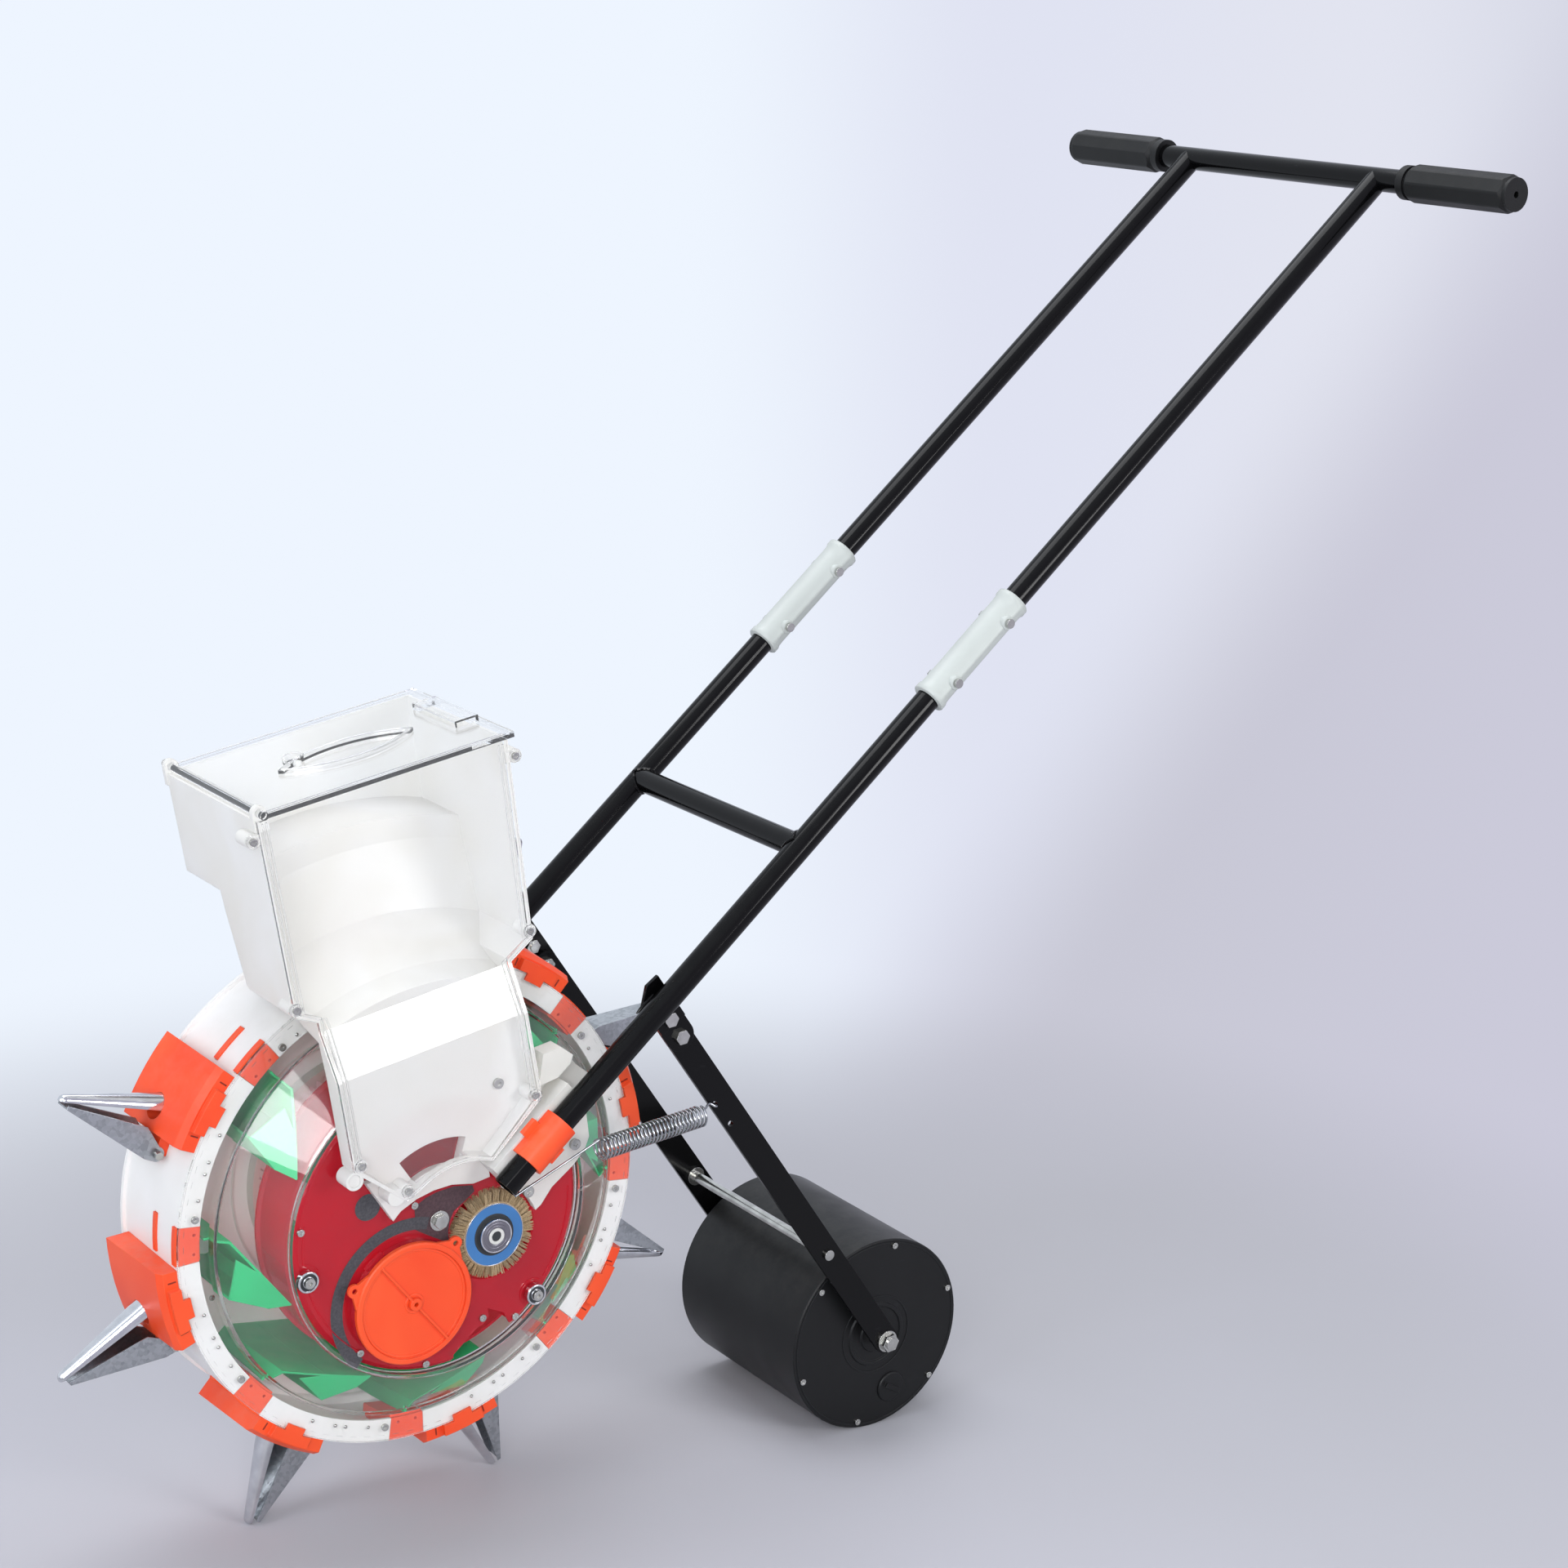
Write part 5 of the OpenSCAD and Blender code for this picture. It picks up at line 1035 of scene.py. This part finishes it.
@dataclass
class BrushWheel(Assembly):
    """The blue brush disc with its bristles and bearing."""
    near_y: float = -95.5
    depth: float = 13.0
    core_r: float = 28.0
    tip_r: float = 39.9
    bristles: int = 1900
    tufts: int = 46
    cup_r: float = 15.2
    wears = {Finish.BLUE: ("brush_disc",), Finish.GEAR: ("brush_gear",)}

    def bristle_coat(self) -> None:
        """Replaces the plain bristles with fine tapered ones in leaning tufts."""
        rng = random.Random(11)
        coat = Piece("brush_coat", PLACE.brush)
        coat.turned(oblong(self.core_r + 0.05, self.core_r + 1.2, self.near_y + 0.3,
                           self.near_y + self.depth - 0.3), steps=72)
        leans = [rng.uniform(-0.05, 0.05) for _ in range(self.tufts)]
        for i in range(self.bristles):
            tuft = i % self.tufts
            a = 2 * math.pi * tuft / self.tufts + rng.uniform(-0.047, 0.047)
            lean = leans[tuft] + rng.uniform(-0.02, 0.02)
            y = self.near_y + rng.uniform(0.8, self.depth - 0.8)
            tip_y = min(max(y + rng.uniform(-0.7, 0.7), self.near_y + 0.5), self.near_y + self.depth - 0.5)
            length = self.tip_r - rng.uniform(0.0, 1.6)
            path = [Vector((r * math.cos(a + lean * t), y + (tip_y - y) * t, r * math.sin(a + lean * t)))
                    for t, r in ((0.0, self.core_r + 0.6), (0.5, (self.core_r + length) / 2), (1.0, length))]
            coat.sweep(path, (0.42, 0.38, 0.28), 3)
        made = self.add(coat, Body.BRUSH, Finish.BRISTLE, smooth=60)
        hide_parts("brush_bristles")

    def details(self) -> None:
        """Adds the bristles and the bearing's cup, bright rim, grey face and white tube. The cup's flat dark
        ring on the disc is painted shade.
        """
        self.bristle_coat()
        y, r = self.near_y, self.cup_r
        # The dark cup, and its flat dark ring out to r 19 on the disc: the ring is painted shade round the
        # cup.
        dark = Piece("brush_bearing_cup_and_shade", PLACE.brush)
        dark.turned([(0.01, y + 0.3), (0.01, y - 3.9), (r - 0.3, y - 3.9), (r - 0.1, y - 0.6),
                     (r + 3.6, y - 0.5), (r + 3.8, y + 0.3)], steps=72)
        self.add(dark, Body.BRUSH, Finish.RUBBER, DARK_RUBBER_AND_SHADE)
        bright = Piece("brush_bearing_rim", PLACE.brush)
        bright.turned([(r - 1.5, y - 3.6), (r - 1.4, y - 4.4), (r - 0.9, y - 4.7), (r - 0.1, y - 4.5),
                       (r + 0.1, y - 3.9), (r + 0.1, y - 3.2), (r - 1.0, y - 3.2)], steps=72)
        bright.turned([(27.5, y + 0.2), (27.6, y - 0.6), (28.3, y - 0.5), (28.4, y + 0.4)], steps=96)
        self.add(bright, Body.BRUSH, Finish.CHROME)
        face = Piece("brush_bearing_face", PLACE.brush)
        steps = [(13.8, 3.7), (13.8, 4.1), (11.9, 4.15), (11.7, 4.35), (10.9, 4.35), (10.7, 4.15), (9.3, 4.2),
                 (9.1, 4.4), (8.5, 4.4), (8.3, 4.2), (7.3, 4.25), (7.3, 3.7)]
        face.turned([(radius, y - proud) for radius, proud in steps], steps=72)
        self.add(face, Body.BRUSH, Finish.ZINC, BEARING_FACE)
        tube = Piece("brush_white_tube", PLACE.brush)
        tube.turned([(4.6, y - 3.6), (4.6, y - 4.8), (5.0, y - 5.1), (7.0, y - 5.1), (7.4, y - 4.8),
                     (7.4, y - 3.6)], steps=48)
        self.add(tube, Body.BRUSH, Finish.IVORY)


@dataclass
class Hopper(Assembly):
    """The white hopper, its clear panel and screws."""
    upper_y: float = -105.0
    lower_y: float = -118.0
    left_edge: tuple[Pair, ...] = (
        (-102, 396), (-100, 231), (-82, 220), (-80, 210), (-80, 168), (-80, 92))
    right_edge: tuple[Pair, ...] = ((124, 396), (119.5, 225), (97, 212), (97, 208), (98, 168), (98, 94))
    upper_screws: tuple[Pair, ...] = ((-107.5, 384), (129.5, 383), (-98, 236), (118.5, 230.5))
    lower_screws: tuple[Pair, ...] = ((-73, 91), (93, 92), (-36, 53))
    rail_insets: tuple[float, ...] = (4.5, 8.0)
    wears = {Finish.IVORY: ("hopper_body",), Finish.CLEAR: ("hopper_front_panel",),
             Finish.ZINC: ("hopper_screws",)}

    def rails(self) -> None:
        """Adds the paired ridges that run down both sides of the clear panel."""
        rails = Piece("panel_rails", PLACE.chassis)
        depths = [self.upper_y] * 4 + [self.lower_y] * 2
        for inset in self.rail_insets:
            for line, inwards in ((self.left_edge, inset), (self.right_edge, -inset)):
                rails.sweep([Vector((x + inwards, y, z)) + Vector((0, -0.3, 0))
                             for (x, z), y in zip(line, depths)], 0.8, 8)
        self.add(rails, Body.CHASSIS, Finish.CLEAR)

    def screw_cups(self) -> None:
        """Adds the clear cups round the panel's screws."""
        cups = Piece("panel_screw_cups", PLACE.chassis)
        for y, places in ((self.upper_y, self.upper_screws), (self.lower_y, self.lower_screws)):
            for u, w in places:
                cups.turned(raised((4.1, 4.3, 5.4, 5.9), y, -1.6), steps=28, at=spot(u, w))
        self.add(cups, Body.CHASSIS, Finish.CLEAR)

    def details(self) -> None:
        """Adds the panel's ridges and screw cups."""
        self.rails()
        self.screw_cups()


@dataclass
class HopperLid(Assembly):
    """The clear hinged lid."""
    top_w: float = 402.3
    dish_u: float = 18.0
    dish_y: float = -30.0
    half_len: float = 60.0
    half_w: float = 22.0
    wears = {Finish.CLEAR: ("hopper_lid",)}

    def details(self) -> None:
        """Adds the finger dish's rounded rim, made of two arcs that meet in points."""
        rim = Piece("lid_dish_rim", PLACE.chassis)
        r = (self.half_len ** 2 + self.half_w ** 2) / (2 * self.half_w)
        reach = math.degrees(math.asin(self.half_len / r))
        loop = []
        for side in (1, -1):
            for i in range(25):
                a = math.radians(-reach + 2 * reach * i / 25) * side
                loop.append(Vector((self.dish_u + r * math.sin(a),
                                    self.dish_y + side * (r * math.cos(a) - (r - self.half_w)),
                                    self.top_w + 3.0)))
        rim.sweep(loop, 0.8, 6, closed=True)
        self.add(rim, Body.LID, Finish.CLEAR)


@dataclass
class Handle(Assembly):
    """Brackets, clamps, tubes, sleeves, T-bar and grips."""
    tube_r: float = 11.0
    cross_at: float = 388.0
    sleeve_span: Pair = (565.6, 686.8)
    sleeve_bolts: Pair = (589.6, 662.8)
    sleeve_boss: tuple[Pair, ...] = ((0.01, 12.0), (6.6, 12.0), (6.2, 16.4), (5.6, 17.0), (0.01, 17.0))
    sleeve_flare: tuple[Pair, ...] = ((0.0, 0.6), (0.8, 1.4), (5.5, 1.4), (8.0, 0.3), (14.0, 0.0))
    sleeve_wall: float = 3.2
    ridge_h: float = 1.5
    wears = {
        Finish.IVORY: ("bracket_near", "bracket_far"),
        Finish.ORANGE: ("tube_clamps",),
        Finish.ZINC: ("clamp_screws", "sleeve_bolts"),
        Finish.BLACK_STEEL: ("lower_tube_near", "lower_tube_far", "cross_bar", "upper_tube_near",
                             "upper_tube_far", "t_bar"),
        Finish.RUBBER: ("grips",),
    }

    def weld(self, piece: Piece, side: int, along: float, rng: random.Random) -> None:
        """Adds the bead of a weld where a cross tube meets a long tube.

        Args:
            piece: The piece that it is added to.
            side: Near (-1) or far (1).
            along: Where on the long tube.
            rng: A seeded source of small changes.
        """
        loop, radii = [], []
        for i in range(48):
            a = 2 * math.pi * i / 48
            x, z = self.tube_r * math.cos(a), self.tube_r * math.sin(a)
            y = math.sqrt(max(self.tube_r ** 2 - z * z, 0.0)) + 0.2
            loop.append(Vector((along + x * 1.04, -side * y, z * 1.04)))
            radii.append(1.5 + 0.3 * math.sin(i * 2.1) + rng.uniform(-0.15, 0.15))
        piece.sweep(loop, radii, 8, closed=True)

    def sleeve_ring(self, x: float, grow: float) -> list[Vector]:
        """Returns one ring of a sleeve, with its ridges on the near and the far side.

        Args:
            x: Where along the tube.
            grow: How much wider than the sleeve's middle, where the ends flare.

        Returns:
            The ring's points.
        """
        ring = []
        for i in range(96):
            a = 2 * math.pi * i / 96
            ridge = self.ridge_h * math.exp(-(math.cos(a) / 0.2) ** 2) * (1.0 if grow < 0.5 else 0.3)
            r = self.tube_r + self.sleeve_wall + grow + ridge
            ring.append(Vector((x, r * math.sin(a), r * math.cos(a))))
        return ring

    def sleeves(self) -> None:
        """Lofts the white sleeves: flared ends, a ridge on both sides and the bolts' bosses."""
        start, end = self.sleeve_span
        flare = self.sleeve_flare
        stations = [(start + x, grow) for x, grow in flare] + [(end - x, grow) for x, grow in flare[::-1]]
        shells = Piece("sleeve_shells", HERE)
        for side in (-1, 1):
            tube = PLACE.tube(side)
            shells.skin([self.sleeve_ring(x, grow) for x, grow in stations], tube)
            for x in self.sleeve_bolts:
                for s in (-1, 1):
                    shells.turned([(r, s * y) for r, y in self.sleeve_boss], steps=40, at=tube @ spot(x, 0.0))
        made = self.add(shells, Body.CHASSIS, Finish.IVORY, SLEEVE_IVORY_SHADED, smooth=50)
        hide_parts("joining_sleeves")

    def details(self) -> None:
        """Adds the sleeves and the beads of the cross bar's welds."""
        self.sleeves()
        rng = random.Random(5)
        for side, label in ((-1, "near"), (1, "far")):
            bead = Piece(f"weld_beads_{label}", PLACE.tube(side))
            self.weld(bead, side, self.cross_at, rng)
            self.add(bead, Body.CHASSIS, Finish.BLACK_STEEL)


@dataclass
class TensionSpring(Assembly):
    """The wound spring, its straight leg and its hook, as one round wire."""
    wire_r: float = 1.1
    coil_r: float = 8.9
    coils: int = 27
    steps: int = 20
    leg_foot: Triple = (53.0, -132.0, 17.5)
    coil_from: Triple = (141.0, -127.0, 24.6)
    coil_to: Triple = (250.0, -119.0, 12.0)
    hook_along: float = 82.0
    hook_off: float = 8.0
    hook_bends: tuple[Triple, ...] = ((-8, -6, 5), (-3, -7.5, 1), (-0.3, -5.5, 0), (0, -2, 0), (0, 3, 0),
                                      (0, 5.2, 0))
    arm_y: float = 110.0

    def hook_hole(self) -> Vector:
        """Returns the spring's hole in the near arm, on the chassis."""
        a = math.radians(PLACE.pitch + PLACE.arm_drop)
        u = PLACE.pivot_u + self.hook_along * math.cos(a) - self.hook_off * math.sin(a)
        w = PLACE.pivot_w - self.hook_along * math.sin(a) - self.hook_off * math.cos(a)
        return Vector((u, -self.arm_y, w))

    def path(self) -> list[Vector]:
        """Returns the wire's middle line, on the chassis."""
        foot, first, last = Vector(self.leg_foot), Vector(self.coil_from), Vector(self.coil_to)
        ahead = (last - first).normalized()
        side = Vector((0, 1, 0)).cross(ahead).normalized()
        up = ahead.cross(side)
        count = self.coils * self.steps
        coil = []
        for i in range(count + 1):
            a = 2 * math.pi * i / self.steps
            coil.append(first + (last - first) * (i / count)
                        + self.coil_r * (-side * math.cos(a) + up * math.sin(a)))
        leg_dir = (coil[0] - foot).normalized()
        leg = [foot, foot + leg_dir * 2.2, foot + leg_dir * 30, coil[0] - leg_dir * 30, coil[0] - leg_dir * 4]
        bends = [self.hook_hole() + Vector(bend) for bend in self.hook_bends]
        hook = curve_through([last + ahead * 4 + Vector((0, -2, 6)), *bends], 5)
        return leg + coil + hook

    def details(self) -> None:
        """Replaces the plain wire with a round one."""
        wire = Piece("spring_wire", PLACE.chassis)
        wire.sweep(self.path(), self.wire_r, 10)
        made = self.add(wire, None, Finish.SPRING, smooth=60)
        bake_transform(made)
        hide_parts("tension_spring")


@dataclass
class Yoke(Assembly):
    """The sprung arms with their brackets and stay rod."""
    plate_half: float = 14.0
    plate_from: float = 112.3
    plate_to: float = 115.9
    pad_to: float = 118.3
    strap_at: float = 195.6
    weld_x: tuple[float, ...] = (-11.0, -6.0, 0.0, 6.0, 11.0)
    weld_r: tuple[float, ...] = (0.8, 1.7, 1.5, 1.8, 0.8)
    wears = {
        Finish.BLACK_STEEL: ("yoke_arm_near", "yoke_arm_far"),
        Finish.ZINC: ("pivot_bolts", "stay_rod", "roller_axle"),
    }

    def details(self) -> None:
        """Adds the welded plates that carry the arms' pivots."""
        plates = Piece("yoke_bracket_plates", PLACE.arm)
        half = self.plate_half
        round_end = [polar(half, a) for a in range(-90, 91, 10)]
        outline = round_end + [(-63.0, half), (-63.0, 0.0), (-50.0, -half)]
        beads = Piece("yoke_bracket_welds", PLACE.chassis)
        for side in (-1, 1):
            plates.slab(outline, side * self.plate_from, side * self.plate_to)
            plates.slab(oblong(-31.5, -15.0, -half, half), side * self.plate_to, side * self.pad_to)
            tube = PLACE.chassis.inverted() @ PLACE.tube(side)
            for z in (-7.5, 7.5):
                line = [Vector((self.strap_at + x, -side * 10.3, z)) for x in self.weld_x]
                beads.sweep(line, self.weld_r, 8, at=tube)
        made = self.add(plates, Body.CHASSIS, Finish.BLACK_STEEL, bevel=0.4)
        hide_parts("yoke_brackets")
        self.add(beads, Body.CHASSIS, Finish.BLACK_STEEL)


@dataclass
class PressRoller(Assembly):
    """The black press roller."""
    half: float = 94.2
    end_beads: tuple[Pair, ...] = ((91.2, 0.5), (38.0, 0.6))
    wears = {
        Finish.BLACK_PLASTIC: ("roller_shell", "roller_ends", "fill_plug"),
        Finish.ZINC: ("roller_screws",),
    }

    def details(self) -> None:
        """Adds the rolled beads on both ends."""
        beads = Piece("roller_end_beads", PLACE.roller)
        for s in (-1, 1):
            for r, proud in self.end_beads:
                radii = (r - 0.8, r - 0.5, r + 0.5, r + 0.8)
                beads.turned(raised(radii, s * self.half, s * proud), steps=144)
        self.add(beads, Body.ROLLER, Finish.BLACK_PLASTIC)


# Floor, light and camera

@dataclass
class Studio:
    """The pale floor, the soft light and the camera."""
    camera_at: Triple = (-1.55032, -2.20159, 1.29690)
    right: Triple = (0.81169, -0.58074, 0.06251)
    up: Triple = (0.10417, 0.24924, 0.96282)
    back: Triple = (-0.57473, -0.77500, 0.26280)
    lens: float = 71.02
    shift: Pair = (-0.00715, 0.0431)
    world_strength: float = 0.54
    lamps: tuple[tuple, ...] = (
        ("right_softbox", (0.80, -2.30, 1.10), (-0.3, 0.0, 0.5), (0.9, 0.7), 20.0, "FFFFFF"),
        ("top_softbox", (-0.1, 0.5, 2.9), (-0.1, 0.0, 0.4), (2.2, 1.6), 38.0, "FBFCFF"),
        ("left_softbox", (-2.6, -0.6, 1.5), (-0.3, 0.0, 0.4), (1.4, 2.0), 24.0, "EEF4FF"),
        ("front_softbox", (-2.4, -3.0, 1.7), (-0.3, 0.0, 0.3), (1.8, 1.4), 68.0, "FFFFFF"),
    )

    def ramp(self, tree: Tree, value: Socket, stops: Sequence[tuple[float, str]]) -> Socket:
        """Places a colour ramp and returns its colour."""
        made = tree.node("ValToRGB", {0: value})
        made.color_ramp.interpolation = "EASE"
        while len(made.color_ramp.elements) < len(stops):
            made.color_ramp.elements.new(0.5)
        for element, (at, colour) in zip(made.color_ramp.elements, stops):
            element.position, element.color = at, linear(colour)
        return made.outputs[0]

    def backdrop(self, tree: Tree, ahead: Socket) -> Socket:
        """Returns the backdrop's colour, a painted fall-off of light: blue-white above and to the left,
        lilac-grey below and to the right.

        Args:
            tree: The tree that it is built in.
            ahead: The direction from the camera's place, of length one.

        Returns:
            The colour's socket.
        """
        across = tree.vector("DOT_PRODUCT", ahead, self.right)
        rise = tree.vector("DOT_PRODUCT", ahead, self.up)
        over = tree.remap(across, -0.25, 0.25)
        high = self.ramp(tree, over, ((0.0, "EEF5FF"), (0.42, "EEF5FF"), (0.64, "E0E3F2"), (0.85, "E2E4F0"),
                                      (1.0, "D7D9E6")))
        low = self.ramp(tree, over, ((0.0, "C0C1C8"), (0.4, "C0C0C8"), (0.65, "C8C8D5"), (1.0, "CBCADA")))
        drop = tree.math("MULTIPLY", tree.math("MAXIMUM", across, 0.0), 1.4)
        lift = tree.math("SUBTRACT", rise, drop)
        return tree.blend(tree.remap(lift, -0.18, -0.05, interpolation_type="SMOOTHSTEP"), low, high)

    def floor(self) -> None:
        """Makes the floor, which fades into the backdrop away from the planter, where it glows with the
        backdrop's painted fall-off of light instead of being lit.
        """
        mesh = bmesh.new()
        bmesh.ops.create_grid(mesh, x_segments=8, y_segments=8, size=60.0)
        data = bpy.data.meshes.new("studio_floor")
        mesh.to_mesh(data)
        mesh.free()
        floor = bpy.data.objects.new("studio_floor", data)
        bpy.context.collection.objects.link(floor)
        material = open_material("floor_paper")
        tree = Tree(material.node_tree)
        here = tree.node("NewGeometry").outputs["Position"]
        cloud = tree.remap(tree.noise(here, 1.3, 2.0), 0.3, 0.7)
        paper = tree.first("BsdfPrincipled", {
            "Base Color": tree.blend(cloud, "B8B8BE", "BCBCC4"),
            "Roughness": 0.55, "Specular IOR Level": 0.25,
            "Normal": tree.bump(tree.noise(here, 140.0, 4.0), 0.04, 0.001)})
        aimed = tree.vector("NORMALIZE", tree.vector("SUBTRACT", here, self.camera_at))
        far = tree.first("Emission", {"Color": self.backdrop(tree, aimed), "Strength": 1.0})
        reach = tree.vector("LENGTH", tree.vector("MULTIPLY", here, (1.0, 1.0, 0.0)))
        fade = tree.math("MULTIPLY", tree.remap(reach, 0.6, 1.5, interpolation_type="SMOOTHSTEP"),
                         tree.rays("Camera", "Glossy", "Transmission"))
        tree.node("OutputMaterial", {"Surface": tree.mix(fade, paper, far)})
        data.materials.append(material)

    def world(self) -> None:
        """Makes the soft surrounding light and the pale backdrop."""
        world = bpy.data.worlds.new("studio_world")
        bpy.context.scene.world = world
        world.use_nodes = True
        world.node_tree.nodes.clear()
        tree = Tree(world.node_tree)
        ahead = tree.node("TexCoord").outputs["Generated"]
        height = tree.node("SeparateXYZ", {0: ahead}).outputs["Z"]
        glow = tree.blend(tree.remap(height, -0.1, 0.9), "FFFFFF", "D8DCE4")
        light = tree.first("Background", {"Color": glow, "Strength": self.world_strength})
        shown = tree.first("Background", {"Color": self.backdrop(tree, ahead), "Strength": 1.0})
        seen = tree.rays("Camera", "Glossy", "Transmission")
        tree.node("OutputWorld", {"Surface": tree.mix(seen, light, shown)})

    def softbox(self, name: str, at: Triple, aim: Triple, size: Pair, power: float, tint: str) -> None:
        """Adds a rectangular soft lamp.

        Args:
            name: The lamp's name.
            at: Its place, in metres.
            aim: The point that it faces.
            size: Width and height, in metres.
            power: Power in watts.
            tint: The light's colour.
        """
        data = bpy.data.lights.new(name, "AREA")
        data.shape, data.size, data.size_y = "RECTANGLE", size[0], size[1]
        data.energy, data.color = power, linear(tint)[:3]
        lamp = bpy.data.objects.new(name, data)
        lamp.location = at
        lamp.rotation_euler = (Vector(aim) - Vector(at)).to_track_quat("-Z", "Y").to_euler()
        bpy.context.collection.objects.link(lamp)

    def camera(self) -> None:
        """Places the camera at the photograph's viewing angle."""
        data = bpy.data.cameras.new("view_camera")
        data.sensor_width, data.lens = 36.0, self.lens
        data.shift_x, data.shift_y = self.shift
        made = bpy.data.objects.new("view_camera", data)
        bpy.context.collection.objects.link(made)
        pose = Matrix((self.right, self.up, self.back)).transposed().to_4x4()
        pose.translation = Vector(self.camera_at)
        made.matrix_world = pose
        bpy.context.scene.camera = made

    def build(self) -> None:
        """Makes the whole studio."""
        bpy.context.scene.view_settings.view_transform = "Standard"
        self.floor()
        self.world()
        for lamp in self.lamps:
            self.softbox(*lamp)
        self.camera()


def main() -> None:
    """Builds the studio and every sub-assembly of the planter."""
    logging.basicConfig(level=logging.INFO, format="%(name)s: %(message)s")
    Studio().build()
    wardrobe = Wardrobe(EffectLibrary())
    for assembly in (SeedWheel, SeedChamber, MeteringCap, BrushWheel, Hopper, HopperLid, Handle,
                     TensionSpring, Yoke, PressRoller):
        assembly(wardrobe).build()


if __name__ == "__main__":
    main()
